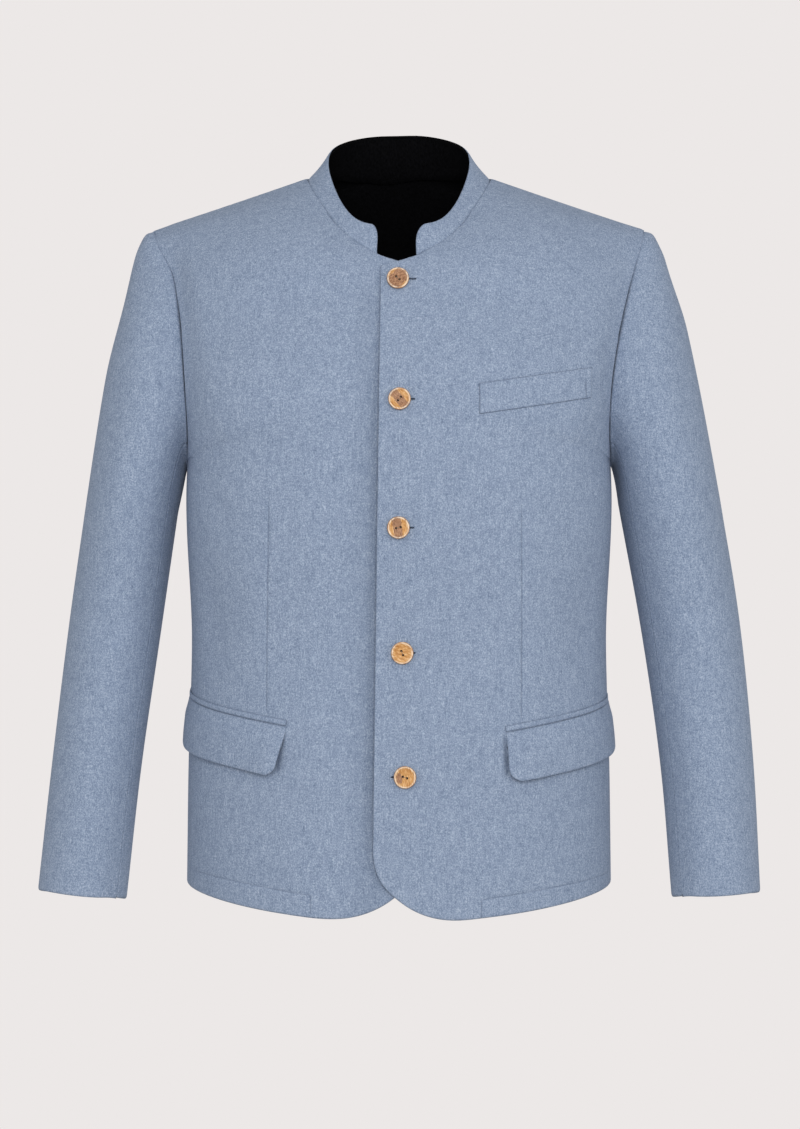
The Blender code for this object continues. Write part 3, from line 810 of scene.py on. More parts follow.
@dataclass
class ClothPiece:
    """A panel of cloth on the form of its solid, with rolled edges, folds and pressed lines."""

    node: str
    facing: Facing
    cut: Cut
    rests_on: tuple[str, ...]
    wall: float = 0.0020
    levels: int = 3
    roll_reach: float = 0.0036
    roll_depth: float = 0.0010
    sink: float = 0.0
    folds: tuple[Fold, ...] = ()
    lines: tuple[PressedLine, ...] = ()
    tuck: float = 0.0
    tuck_drop: float = 0.0
    tuck_under: tuple[str, ...] = ()
    tuck_way: Triple = (0.0, 0.0, 0.0)
    tuck_spread: float = -1.0
    seam_shade: float = 0.35
    fold_fade: float = 0.012
    soft_beside: dict[str, float] = field(default_factory=dict)
    trim: Trim = Trim.LINED
    shadow_rim_beside: tuple[str, ...] = ()
    turn_up: float = 0.0
    sewn_to: tuple[str, ...] = ()
    warps: tuple[Bow | CuffLevel | Flare | Slant | Hinge, ...] = ()
    eased: tuple[EasedSpot, ...] = ()
    strip: float = 0.0

    def build(self, wool: bpy.types.Material, lining: bpy.types.Material) -> bpy.types.Object:
        """Make the piece and join it to the frame.

        Args:
            wool: The outside's finish.
            lining: The inside's finish, a near-black lining that is partly painted shade.

        Returns:
            The finished piece.
        """
        edit = bmesh.new()
        edit.from_mesh(self.smoothed(self.outer_sheet()))
        self.split_rim(edit)
        for line in self.lines:
            if line.depth:
                line.cut(edit)
        self.shape(edit)
        piece = loose_object(f"{self.node}_cloth", edit)
        piece.data.shade_smooth()
        finishes = {"wool": wool, "lining": lining}
        for trim in Trim:
            for finish in trim.value:
                piece.data.materials.append(finishes[finish])
        self.thicken(piece)
        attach(piece, BODY)
        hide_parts(self.node)
        return piece

    def outer_sheet(self) -> bmesh.types.BMesh:
        """The outside of the solid, as one sheet of four-sided faces.

        Returns:
            The sheet.
        """
        edit = bmesh.new()
        edit.from_mesh(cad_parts[self.node].data)
        bmesh.ops.remove_doubles(edit, verts=edit.verts, dist=MERGE)
        edit.normal_update()
        look = Vector(self.facing.value)
        looking = [face for face in edit.faces if face.normal.dot(look) > SHEET_LOOK]
        broad = SHEET_BROAD * max(face.calc_area() for face in looking)
        whole = [face for face in looking if face.calc_area() > broad]
        seed = max(whole, key=lambda face: face.calc_center_median().dot(look))
        kept, waiting = {seed}, [seed]
        while waiting:
            for side in waiting.pop().edges:
                if len(side.link_faces) == 2 and side.calc_face_angle() < SHEET_TURN:
                    fresh = [face for face in side.link_faces if face not in kept]
                    kept.update(fresh)
                    waiting.extend(fresh)
        bmesh.ops.delete(edit, geom=[face for face in edit.faces if face not in kept], context="FACES")
        bmesh.ops.dissolve_edges(edit, edges=grid_diagonals(edit), use_verts=False)
        bmesh.ops.dissolve_edges(edit, edges=self.narrow_line(edit), use_verts=True)
        return edit

    def narrow_line(self, edit: bmesh.types.BMesh) -> list[bmesh.types.BMEdge]:
        """The line of a sheet's grid that runs along an edge in a narrow strip.

        Args:
            edit: The sheet.

        Returns:
            The line's edges, none where the piece has no such strip.
        """
        near = set()
        for side in edit.edges:
            if side.calc_length() < self.strip:
                order = {point: (not point.is_boundary, len(point.link_edges)) for point in side.verts}
                first, last = sorted(side.verts, key=order.get)
                if first.is_boundary and (not side.is_boundary or len(first.link_edges) == 2):
                    near.add(last)
        inner = [side for side in edit.edges if not side.is_boundary]
        return [side for side in inner if all(point in near for point in side.verts)]

    def smoothed(self, edit: bmesh.types.BMesh) -> bpy.types.Mesh:
        """A finely faced smooth sheet through the points of a coarse one.

        Args:
            edit: The coarse sheet, which is freed.

        Returns:
            The smooth sheet.
        """
        crease = edit.verts.layers.float.new(CREASE_LAYER)
        for point in edit.verts:
            ways = [side.other_vert(point).co - point.co for side in point.link_edges if side.is_boundary]
            if ways and math.pi - ways[0].angle(ways[1]) > CORNER_TURN:
                point[crease] = 1.0
        blank = loose_object("coarse", edit)
        coarse = blank.data
        soften = blank.modifiers.new("Soften", "SUBSURF")
        soften.boundary_smooth = "PRESERVE_CORNERS"
        soften.levels = soften.render_levels = 1
        count = len(coarse.vertices)
        wanted = point_rows(coarse)
        held = wanted.copy()
        for _ in range(FIT_ROUNDS):
            held += wanted - point_rows(evaluated(blank))[:count]
            coarse.vertices.foreach_set("co", held.ravel())
            coarse.update()
        soften.levels = soften.render_levels = self.levels
        result = evaluated(blank)
        bpy.data.objects.remove(blank)
        return result

    def split_rim(self, edit: bmesh.types.BMesh) -> None:
        """Split the outermost faces, so that the edge can roll in a round.

        Args:
            edit: The sheet.
        """
        edges = [side for side in edit.edges if sum(point.is_boundary for point in side.verts) == 1]
        bmesh.ops.subdivide_edges(edit, edges=edges, cuts=RIM_CUTS)

    def edges_beside(
        self, edit: bmesh.types.BMesh, nodes: Iterable[str], reach: float
    ) -> set[bmesh.types.BMEdge]:
        """Parts of the sheet's edge that lie close to other solids.

        Args:
            edit: The sheet.
            nodes: The solids' names.
            reach: How close is close.

        Returns:
            The edges.
        """
        surfaces = [solid_surface(node) for node in nodes]
        found = set()
        for side in edit.edges:
            if side.is_boundary:
                middle = 0.5 * (side.verts[0].co + side.verts[1].co)
                if any(surface.find_nearest(middle)[3] < reach for surface in surfaces):
                    found.add(side)
        return found

    def free_edges(self, edit: bmesh.types.BMesh) -> set[bmesh.types.BMEdge]:
        """Parts of the sheet's edge that are not sewn to a neighbour.

        Args:
            edit: The sheet.

        Returns:
            The edges, none where the piece names no neighbours.
        """
        if not self.sewn_to:
            return set()
        border = {side for side in edit.edges if side.is_boundary}
        return border - self.edges_beside(edit, self.sewn_to, FREE_NEAR)

    def tuck_in(self, edit: bmesh.types.BMesh) -> None:
        """Lengthen the edge that is sewn in, so that it reaches under its neighbours.

        Args:
            edit: The sheet.
        """
        surfaces = [solid_surface(node) for node in self.tuck_under]
        straight = Vector(self.tuck_way).normalized()
        moves, corners = {}, []
        for point in edit.verts:
            if not point.is_boundary:
                continue
            inner = [side.other_vert(point) for side in point.link_edges if not side.is_boundary]
            if not inner:
                corners.append(point)
                continue
            nearest = [surface.find_nearest(point.co) for surface in surfaces]
            spot, _, _, gap = min(nearest, key=lambda found: found[3])
            way = sum(((point.co - other.co).normalized() for other in inner), Vector()).normalized()
            towards = way.dot((spot - point.co).normalized())
            faces = towards > TUCK_TOWARDS or way.dot(straight) > TUCK_ALONG
            outward = math.copysign(way.x, way.x * point.co.x)
            if gap < TUCK_NEAR and faces and outward > self.tuck_spread:
                moves[point] = way * (self.tuck + gap) - point.normal * self.tuck_drop
        for corner in corners:
            beside = [side.other_vert(corner) for side in corner.link_edges]
            moves[corner] = sum((moves[point] for point in beside if point in moves), Vector((0.0, 0.0, 0.0)))
        for point, move in moves.items():
            point.co += move

    def shape(self, edit: bmesh.types.BMesh) -> None:
        """Roll the edges, raise the folds and press the lines, darkening seams and lines and painting the lap
        and flap shadows.

        Args:
            edit: The sheet.
        """
        for spot in self.eased:
            spot.ease(edit)
        edit.normal_update()
        normals = np.array([point.normal for point in edit.verts])
        if self.tuck:
            self.tuck_in(edit)
        self.finish_faces(edit)
        points = np.array([point.co for point in edit.verts])
        shares = {side: 1.0 for side in edit.edges if side.is_boundary}
        for node, share in self.soft_beside.items():
            shares.update(dict.fromkeys(self.edges_beside(edit, (node,), SOFT_NEAR), share))
        free = edge_gaps(self.free_edges(edit), points)
        lifts = np.full(len(points), -self.sink)
        seam = np.zeros(len(points))
        for share in sorted(set(shares.values())):
            gaps = edge_gaps([side for side, found in shares.items() if found == share], points)
            near = np.clip(1.0 - gaps / self.roll_reach, 0.0, 1.0)
            lifts -= share * self.roll_depth * (1.0 - np.sqrt(1.0 - near**2))
            shown = np.clip(1.0 - gaps / SEAM_REACH, 0.0, 1.0) * (free > SEAM_REACH)
            seam = np.maximum(seam, share * self.seam_shade * shown)
        inside = ease(edge_gaps(shares, points), 0.0, self.fold_fade) if self.fold_fade else 1.0
        for fold in self.folds:
            lifts += fold.lift(points) * inside
        for line in self.lines:
            press = line.press(points)
            lifts -= line.depth * press
            # For the lap shade and flap shade lines this darkening is painted shadow
            seam = np.maximum(seam, line.shade * press)
        layer = edit.verts.layers.float.new(SEAM_AND_SHADOW_LAYER)
        moved = points + normals * lifts[:, None]
        for warp in self.warps:
            moved = warp.apply(moved, normals)
        for point, place, shade in zip(edit.verts, moved, seam):
            point.co = place
            point[layer] = shade

    def finish_faces(self, edit: bmesh.types.BMesh) -> None:
        """Choose the trim of each face: faced beside free edges, and beside some seams a rim of black lining,
        painted shade inside the neck opening.

        Args:
            edit: The sheet.
        """
        for face in edit.faces:
            face.material_index = self.trim.slot
        middles = np.array([face.calc_center_median() for face in edit.faces])
        edit.faces.ensure_lookup_table()
        for number in np.flatnonzero(edge_gaps(self.free_edges(edit), middles) < self.turn_up):
            edit.faces[number].material_index = Trim.FACED.slot
        # Beside these seams the rim is black lining: painted shade inside the neck opening
        for side in self.edges_beside(edit, self.shadow_rim_beside, SOFT_NEAR):
            side.link_faces[0].material_index = Trim.BOUND.slot

    def thicken(self, piece: bpy.types.Object) -> None:
        """Give the sheet its wall, inwards, with its trims on the rim and the inside.

        Args:
            piece: The sheet's object.
        """
        wall = piece.modifiers.new("Wall", "SOLIDIFY")
        wall.thickness = self.wall
        wall.offset = -1.0
        wall.material_offset_rim = 1
        wall.material_offset = 2


def grid_diagonals(edit: bmesh.types.BMesh) -> list[bmesh.types.BMEdge]:
    """Edges that halve the cells of a sheet's grid, found row by row from a corner.

    Args:
        edit: A sheet of triangles, two to each cell of a grid.

    Returns:
        One edge for each cell.
    """
    corner = next(point for point in edit.verts if len(point.link_edges) == 2)
    base, first = corner.link_edges
    floor, used, halves = [], set(), []
    while True:
        side, tops = first, []
        while True:
            low, by = (next(face for face in edge.link_faces if face not in used) for edge in (base, side))
            if low is by:
                half = next(edge for edge in low.edges if edge not in (base, side))
                by = next(face for face in half.link_faces if face is not low)
            else:
                half = next(edge for edge in low.edges if edge in by.edges)
            halves.append(half)
            used.update((low, by))
            start = next(point for point in base.verts if point in side.verts)
            end = base.other_vert(start)
            rest = [edge for face in (low, by) for edge in face.edges if edge not in (base, side, half)]
            far = next(edge for edge in rest if end in edge.verts)
            tops.append(next(edge for edge in rest if edge is not far))
            if far.is_boundary:
                break
            outer = [edge for edge in end.link_edges if edge.is_boundary and edge is not base]
            base, side = (floor[len(tops):] or outer)[0], far
        if tops[0].is_boundary:
            return halves
        up = next(point for point in tops[0].verts if point in first.verts)
        first = next(edge for edge in up.link_edges if edge.is_boundary and edge is not first)
        floor, base = tops, tops[0]


def point_rows(mesh: bpy.types.Mesh) -> np.ndarray:
    """Points of a mesh.

    Args:
        mesh: The mesh.

    Returns:
        Its points, in rows.
    """
    places = np.empty(len(mesh.vertices) * 3)
    mesh.vertices.foreach_get("co", places)
    return places.reshape(-1, 3)


def edge_gaps(sides: Iterable[bmesh.types.BMEdge], points: np.ndarray) -> np.ndarray:
    """Distances of points from some edges.

    Args:
        sides: The edges.
        points: The points, in rows.

    Returns:
        A distance for each point, large where there are no edges.
    """
    marks = []
    for side in sides:
        first, last = (point.co for point in side.verts)
        marks.extend(first.lerp(last, step / EDGE_SAMPLES) for step in range(EDGE_SAMPLES))
    if not marks:
        return np.ones(len(points))
    tree = KDTree(len(marks))
    for number, mark in enumerate(marks):
        tree.insert(mark, number)
    tree.balance()
    return np.array([tree.find(point)[2] for point in points])


@lru_cache(maxsize=None)
def solid_surface(node: str) -> BVHTree:
    """The surface of a solid, for measuring distances.

    Args:
        node: The solid's name.

    Returns:
        Its surface.
    """
    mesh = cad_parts[node].data
    corners = [face.vertices for face in mesh.polygons]
    return BVHTree.FromPolygons([point.co for point in mesh.vertices], corners)


def evaluated(piece: bpy.types.Object) -> bpy.types.Mesh:
    """A copy of an object's mesh with its modifiers applied.

    Args:
        piece: The object.

    Returns:
        The new mesh.
    """
    graph = bpy.context.evaluated_depsgraph_get()
    return bpy.data.meshes.new_from_object(piece.evaluated_get(graph))


@dataclass
class Fronts:
    """The two fronts, with a dart and a hem line in each, and painted shadow beside the pocket flaps and, on
    the right front, beside the lap.
    """

    left_cut: Cut = Cut(0.318, 0.722, 0.204)
    right_cut: Cut = Cut(0.318, 0.722, 0.203)
    facing: float = 0.030
    strip: float = 0.0040
    lap: Slant = Slant()
    shoulders: dict[str, Flare] = field(default_factory=shoulder_ends)
    bows: dict[str, Bow] = field(default_factory=armhole_bows)
    armpits: dict[str, EasedSpot] = field(default_factory=lambda: {
        "left": EasedSpot((0.186, -0.075, -0.262), 0.034, 60),
        "right": EasedSpot((-0.186, -0.075, -0.262), 0.034, 60),
    })
    # The flap shade and lap shade lines paint shadow onto the wool beside the pocket flaps and beside the
    # lap's edge
    lines: dict[str, tuple[PressedLine, ...]] = field(default_factory=lambda: {
        "front_left": (
            PressedLine("dart", 0.1145, -0.300, 0.1150, -0.516, shade=0.40),
            PressedLine("flap shade", 0.0978, -0.5269, 0.1016, -0.5700, 0.0003, 0.0028, 0.65, 0.30),
            PressedLine("facing end", 0.0772, -0.6850, 0.0770, -0.7060, 0.0006, shade=0.42, fade=0.05),
            PressedLine("hem", 0.2035, -0.6680, 0.0772, -0.6850, 0.0006, shade=0.26, fade=0.05),
        ),
        "front_right": (
            PressedLine("dart", -0.1215, -0.300, -0.1245, -0.508, shade=0.40),
            PressedLine("flap shade", -0.1076, -0.5241, -0.1142, -0.5662, 0.0003, 0.0034, 0.75, 0.30),
            PressedLine("facing end", -0.0827, -0.6805, -0.0829, -0.6990, 0.0006, shade=0.42, fade=0.05),
            PressedLine("hem", -0.1990, -0.6640, -0.0827, -0.6810, 0.0006, shade=0.26, fade=0.05),
            PressedLine("lap shade", -0.0172, -0.0950, -0.0250, -0.7050, 0.0, 0.030, 0.19, 0.06),
        ),
    })
    folds: dict[str, tuple[Fold, ...]] = field(default_factory=lambda: {
        "front_left": (
            Fold("waist swell", (0.108, -0.12, -0.330), (0.130, -0.12, -0.430), (0.128, -0.12, -0.530),
                 0.026, 0.0022),
            Fold("side hollow", (0.172, -0.07, -0.330), (0.176, -0.07, -0.420), (0.170, -0.08, -0.500),
                 0.022, -0.0020),
            Fold("armhole drag", (0.190, -0.06, -0.285), (0.165, -0.09, -0.312), (0.138, -0.11, -0.350),
                 0.014, -0.0008),
            Fold("hem swell", (0.120, -0.12, -0.590), (0.110, -0.12, -0.650), (0.112, -0.12, -0.700),
                 0.024, 0.0016),
            Fold("chest swell", (0.040, -0.12, -0.190), (0.090, -0.12, -0.205), (0.140, -0.11, -0.200),
                 0.030, 0.0014),
        ),
        "front_right": (
            Fold("waist swell", (-0.140, -0.11, -0.320), (-0.143, -0.11, -0.410), (-0.136, -0.11, -0.520),
                 0.024, 0.0026),
            Fold("side hollow", (-0.174, -0.07, -0.340), (-0.178, -0.07, -0.430), (-0.174, -0.08, -0.500),
                 0.018, -0.0020),
            Fold("armhole drag", (-0.192, -0.06, -0.290), (-0.170, -0.09, -0.318), (-0.146, -0.11, -0.362),
                 0.013, -0.0009),
            Fold("edge hollow", (-0.013, -0.13, -0.105), (-0.012, -0.13, -0.420), (-0.020, -0.13, -0.690),
                 0.032, -0.0046, 0.2),
            Fold("hem swell", (-0.112, -0.12, -0.600), (-0.100, -0.12, -0.655), (-0.102, -0.12, -0.700),
                 0.022, 0.0014),
        ),
    })

    def pieces(self) -> list[ClothPiece]:
        """The fronts' cloth.

        Returns:
            One piece for each front.
        """
        made = []
        neck = ("back", "collar")
        for side, cut, slants in (("left", self.left_cut, (self.lap,)), ("right", self.right_cut, ())):
            sleeve = (f"sleeve_{side}_top", f"sleeve_{side}_under")
            made.append(
                ClothPiece(
                    f"front_{side}",
                    Facing.FRONT,
                    cut,
                    neck,
                    soft_beside={**dict.fromkeys(neck, SOFT), **dict.fromkeys(sleeve, HALF_SOFT)},
                    folds=self.folds[f"front_{side}"],
                    lines=self.lines[f"front_{side}"],
                    turn_up=self.facing,
                    sewn_to=(*neck, *sleeve),
                    warps=(*slants, self.shoulders[side], self.bows[side]),
                    eased=(self.armpits[side],),
                    strip=self.strip,
                )
            )
        return made


@dataclass
class Back:
    """The back, in one piece, with soft folds below the shoulder blades and at the waist."""

    cut: Cut = Cut(0.560, 0.705, 0.321)
    folds: tuple[Fold, ...] = (
        Fold("left blade drag", (0.190, 0.06, -0.215), (0.150, 0.10, -0.250), (0.095, 0.11, -0.300),
             0.013, -0.0016),
        Fold("right blade drag", (-0.188, 0.06, -0.225), (-0.140, 0.10, -0.262), (-0.100, 0.11, -0.325),
             0.012, -0.0014),
        Fold("waist trough", (0.150, 0.08, -0.405), (0.060, 0.10, -0.420), (-0.030, 0.10, -0.412),
             0.015, -0.0016),
        Fold("waist ridge", (0.110, 0.08, -0.445), (0.010, 0.10, -0.452), (-0.090, 0.09, -0.440),
             0.014, 0.0012),
        Fold("low trough", (-0.150, 0.08, -0.425), (-0.080, 0.10, -0.448), (-0.020, 0.10, -0.470),
             0.012, -0.0013),
        Fold("seat swell", (0.060, 0.10, -0.560), (0.055, 0.11, -0.620), (0.060, 0.11, -0.680),
             0.030, 0.0020),
        Fold("seat hollow", (-0.020, 0.10, -0.570), (-0.015, 0.11, -0.630), (-0.018, 0.11, -0.690),
             0.026, -0.0018),
        Fold("right seat swell", (-0.110, 0.09, -0.550), (-0.108, 0.10, -0.610), (-0.112, 0.10, -0.670),
             0.026, 0.0016),
    )
    lines: tuple[PressedLine, ...] = (
        PressedLine("left hem", 0.2035, -0.6680, 0.0000, -0.6760, 0.0006, shade=0.26, fade=0.05),
        PressedLine("right hem", -0.1990, -0.6640, 0.0000, -0.6760, 0.0006, shade=0.26, fade=0.05),
    )
    tuck: float = 0.0022
    tuck_drop: float = 0.0014
    hem: float = 0.030
    armpits: tuple[EasedSpot, ...] = (
        EasedSpot((0.186, 0.064, -0.262), 0.036, 60),
        EasedSpot((-0.186, 0.064, -0.262), 0.036, 60),
    )
    shoulders: dict[str, Flare] = field(default_factory=shoulder_ends)

    def pieces(self) -> list[ClothPiece]:
        """The back's cloth, alone in a list."""
        return [
            ClothPiece(
                "back",
                Facing.BACK,
                self.cut,
                ("front_left", "front_right", "collar"),
                folds=self.folds,
                lines=self.lines,
                tuck=self.tuck,
                tuck_drop=self.tuck_drop,
                tuck_under=("front_left", "front_right"),
                soft_beside={"collar": SOFT, **dict.fromkeys(SLEEVE_NODES, HALF_SOFT)},
                # The rim beside the collar is black lining: painted shade inside the neck opening
                shadow_rim_beside=("collar",),
                warps=tuple(self.shoulders.values()),
                eased=self.armpits,
                turn_up=self.hem,
                sewn_to=("front_left", "front_right", "collar", *SLEEVE_NODES),
            )
        ]


@dataclass
class Sleeves:
    """Two-piece sleeves, with creases inside the elbow and soft swells above the cuff."""

    top_cut: Cut = Cut(0.262, 0.665, 0.139)
    under_cut: Cut = Cut(0.150, 0.505, 0.045)
    tuck: float = 0.0022
    tuck_drop: float = 0.0009
    tuck_rise: float = 0.7
    roll_reach: float = 0.0042
    roll_depth: float = 0.0009
    seam_shade: float = 0.4
    cuff: float = 0.030
    level: CuffLevel = CuffLevel()
    bows: dict[str, Bow] = field(default_factory=armhole_bows)
    # The head, its corner, its seat on the shoulder and the upper arm; the right one also rests on the body
    left_flares: tuple[Flare, ...] = (
        Flare((0.2400, 0.003, -0.0500), 0.038, 0.0018),
        Flare((0.2500, 0.004, -0.0560), 0.024, -0.0022),
        Flare((0.2367, 0.0135, -0.0445), 0.010, 0.0042, (0.0, 0.0, -1.0)),
        Flare((0.2640, 0.003, -0.0920), 0.055, 0.0030, (-1.0, 0.0, 0.0)),
    )
    right_flares: tuple[Flare, ...] = (
        Flare((-0.2400, 0.003, -0.0500), 0.038, 0.0010),
        Flare((-0.2495, 0.004, -0.0530), 0.024, -0.0012),
        Flare((-0.2376, 0.0132, -0.0445), 0.010, 0.0042, (0.0, 0.0, -1.0)),
        Flare((-0.2700, 0.003, -0.1150), 0.080, 0.0036, (1.0, 0.0, 0.0)),
        Flare((-0.211, 0.000, -0.284), 0.045, 0.0030),
    )
    left_folds: tuple[Fold, ...] = (
        Fold("elbow crease", (0.250, -0.050, -0.405), (0.285, -0.055, -0.418), (0.318, -0.035, -0.440),
             0.009, -0.0018),
        Fold("elbow ridge", (0.252, -0.045, -0.432), (0.290, -0.052, -0.446), (0.326, -0.030, -0.462),
             0.010, 0.0014),
        Fold("low crease", (0.262, -0.045, -0.468), (0.295, -0.055, -0.480), (0.330, -0.030, -0.505),
             0.009, -0.0014),
        Fold("cap drape", (0.245, -0.050, -0.150), (0.275, -0.050, -0.220), (0.292, -0.040, -0.300),
             0.020, -0.0014),
        Fold("forearm swell", (0.290, -0.055, -0.520), (0.305, -0.065, -0.580), (0.312, -0.070, -0.650),
             0.017, 0.0013),
        Fold("back elbow", (0.262, 0.068, -0.385), (0.290, 0.068, -0.420), (0.312, 0.055, -0.452),
             0.013, 0.0018),
        Fold("back trough", (0.268, 0.060, -0.450), (0.298, 0.058, -0.475), (0.325, 0.040, -0.500),
             0.010, -0.0014),
    )
    right_folds: tuple[Fold, ...] = (
        Fold("elbow crease", (-0.240, -0.050, -0.418), (-0.276, -0.055, -0.432), (-0.306, -0.035, -0.450),
             0.010, -0.0017),
        Fold("elbow ridge", (-0.246, -0.045, -0.448), (-0.282, -0.052, -0.462), (-0.318, -0.030, -0.488),
             0.010, 0.0015),
        Fold("low crease", (-0.255, -0.045, -0.490), (-0.290, -0.055, -0.506), (-0.322, -0.030, -0.520),
             0.008, -0.0013),
        Fold("cap drape", (-0.243, -0.050, -0.165), (-0.268, -0.050, -0.235), (-0.284, -0.040, -0.325),
             0.019, -0.0015),
        Fold("forearm swell", (-0.284, -0.055, -0.530), (-0.300, -0.065, -0.600), (-0.306, -0.070, -0.665),
             0.016, 0.0013),
        Fold("back elbow", (-0.256, 0.068, -0.398), (-0.284, 0.068, -0.432), (-0.306, 0.055, -0.470),
             0.012, 0.0018),
        Fold("back trough", (-0.262, 0.060, -0.462), (-0.290, 0.058, -0.490), (-0.318, 0.040, -0.510),
             0.010, -0.0015),
    )

    def pieces(self) -> list[ClothPiece]:
        """The sleeves' cloth.

        Returns:
            A top and an under piece for each sleeve.
        """
        made = []
        sides = (
            ("left", Facing.LEFT, Facing.RIGHT, self.left_folds, self.left_flares),
            ("right", Facing.RIGHT, Facing.LEFT, self.right_folds, self.right_flares),
        )
        for side, out, inwards, folds, flares in sides:
            body = (f"front_{side}", "back")
            top, under = f"sleeve_{side}_top", f"sleeve_{side}_under"
            halves = (
                (top, out, self.top_cut, body, {under: SOFT}, (*body, under)),
                (under, inwards, self.under_cut, (*body, top), {}, (*body, top)),
            )
            for node, facing, cut, tuck_under, soft_beside, sewn_to in halves:
                made.append(
                    ClothPiece(
                        node,
                        facing,
                        cut,
                        body,
                        folds=folds,
                        roll_reach=self.roll_reach,
                        roll_depth=self.roll_depth,
                        seam_shade=self.seam_shade,
                        tuck=self.tuck,
                        tuck_drop=self.tuck_drop,
                        tuck_under=tuck_under,
                        tuck_way=(inwards.value[0], 0.0, self.tuck_rise),
                        soft_beside=soft_beside,
                        turn_up=self.cuff,
                        sewn_to=sewn_to,
                        warps=(self.level, *flares, self.bows[side]),
                    )
                )
        return made


@dataclass
class Collar:
    """The stand collar, sewn in under the necklines."""

    cut: Cut = Cut(0.036, 0.450, 0.0135)
    wall: float = 0.0030
    roll_reach: float = 0.0040
    roll_depth: float = 0.0013
    tuck: float = 0.0045
    tuck_spread: float = -0.08
    nape: Flare = Flare((-0.015, 0.077, 0.012), 0.055, -0.0026)
    ends: Flare = Flare((-0.002, -0.085, -0.072), 0.045, 0.0037, (-1.0, 0.0, 0.0))

    def pieces(self) -> list[ClothPiece]:
        """The collar's cloth, alone in a list."""
        return [
            ClothPiece(
                "collar",
                Facing.BACK,
                self.cut,
                ("front_left", "front_right", "back"),
                wall=self.wall,
                roll_reach=self.roll_reach,
                roll_depth=self.roll_depth,
                tuck=self.tuck,
                tuck_under=("front_left", "front_right", "back"),
                tuck_way=(0.0, 0.0, -1.0),
                tuck_spread=self.tuck_spread,
                # All rims in black lining: painted shade inside the neck opening
                trim=Trim.BOUND,
                warps=(self.nape, self.ends),
            )
        ]


@dataclass(frozen=True)
class SmallCloth:
    """A kind of small piece: its cut, its wall, how its edge rolls and is shaded, and how deep it is set."""

    cut: Cut
    wall: float
    roll_reach: float
    roll_depth: float
    seam_shade: float
    sink: float = 0.0


@dataclass
class Pockets:
    """Flaps and strips of the lower pockets, and the breast welt."""

    folds: dict[str, tuple[Fold, ...]]
    levels: int = 4
    flap: SmallCloth = SmallCloth(Cut(0.052, 0.170, 0.0079), 0.0022, 0.0034, 0.0012, 0.2)
    strip: SmallCloth = SmallCloth(Cut(0.010, 0.170, 0.0010), 0.0016, 0.0024, 0.0009, 0.45, 0.0012)
    welt: SmallCloth = SmallCloth(Cut(0.032, 0.136, 0.0034), 0.0014, 0.0024, 0.0009, 0.5, 0.0014)
    welt_end: PressedLine = PressedLine(
        "welt end", 0.1768, -0.1960, 0.1774, -0.2140, 0.0004, 0.0011, 0.55, 0.35
    )
    flares: dict[str, Flare] = field(default_factory=lambda: {
        "left": Flare((0.116, -0.116, -0.574), 0.042, 0.0044),
        "right": Flare((-0.121, -0.114, -0.568), 0.042, 0.0046),
    })
    corners: dict[str, Flare] = field(default_factory=lambda: {
        "left": Flare((0.110, -0.119, -0.566), 0.036, 0.0036, (-1.0, 0.0, 0.0)),
        "right": Flare((-0.1135, -0.117, -0.560), 0.036, 0.0022, (-1.0, 0.0, 0.0)),
    })
    strip_ends: dict[str, Flare] = field(default_factory=lambda: {
        "left": Flare((0.205, 0.002, -0.498), 0.034, -0.0012),
        "right": Flare((-0.205, 0.008, -0.493), 0.034, -0.0012),
    })

    def pieces(self) -> list[ClothPiece]:
        """The pockets' cloth.

        Returns:
            Two flaps, two strips and a welt.
        """
        made = []
        for side in ("left", "right"):
            front = f"front_{side}"
            moves = (self.corners[side], self.flares[side], Hinge(f"jet_{side}"))
            made.append(self.piece(f"flap_{side}", front, self.flap, warps=moves))
            made.append(self.piece(f"jet_{side}", front, self.strip, warps=(self.strip_ends[side],)))
        made.append(self.piece("breast_welt", "front_left", self.welt, lines=(self.welt_end,)))
        return made

    def piece(self, node: str, front: str, kind: SmallCloth, **extras: tuple) -> ClothPiece:
        """One small piece, which shares the folds of the front that it lies on.

        Args:
            node: The piece's solid.
            front: The front's solid.
            kind: The kind of piece.
            extras: Warps or lines of its own.

        Returns:
            The piece.
        """
        return ClothPiece(
            node,
            Facing.FRONT,
            kind.cut,
            (front,),
            wall=kind.wall,
            levels=self.levels,
            roll_reach=kind.roll_reach,
            roll_depth=kind.roll_depth,
            sink=kind.sink,
            folds=self.folds[front],
            fold_fade=0.0,
            seam_shade=kind.seam_shade,
            trim=Trim.FACED,
            **extras,
        )


@dataclass(frozen=True)
class ButtonLook:
    """One button: the turn of its holes, the lie of its brown band and how its buttonhole shows."""

    node: str
    hole_turn: float
    band_turn: float
    band_middle: float
    band_half: float
    band_length: float
    grain_start: float
    slit_start: float
    slit_end: float


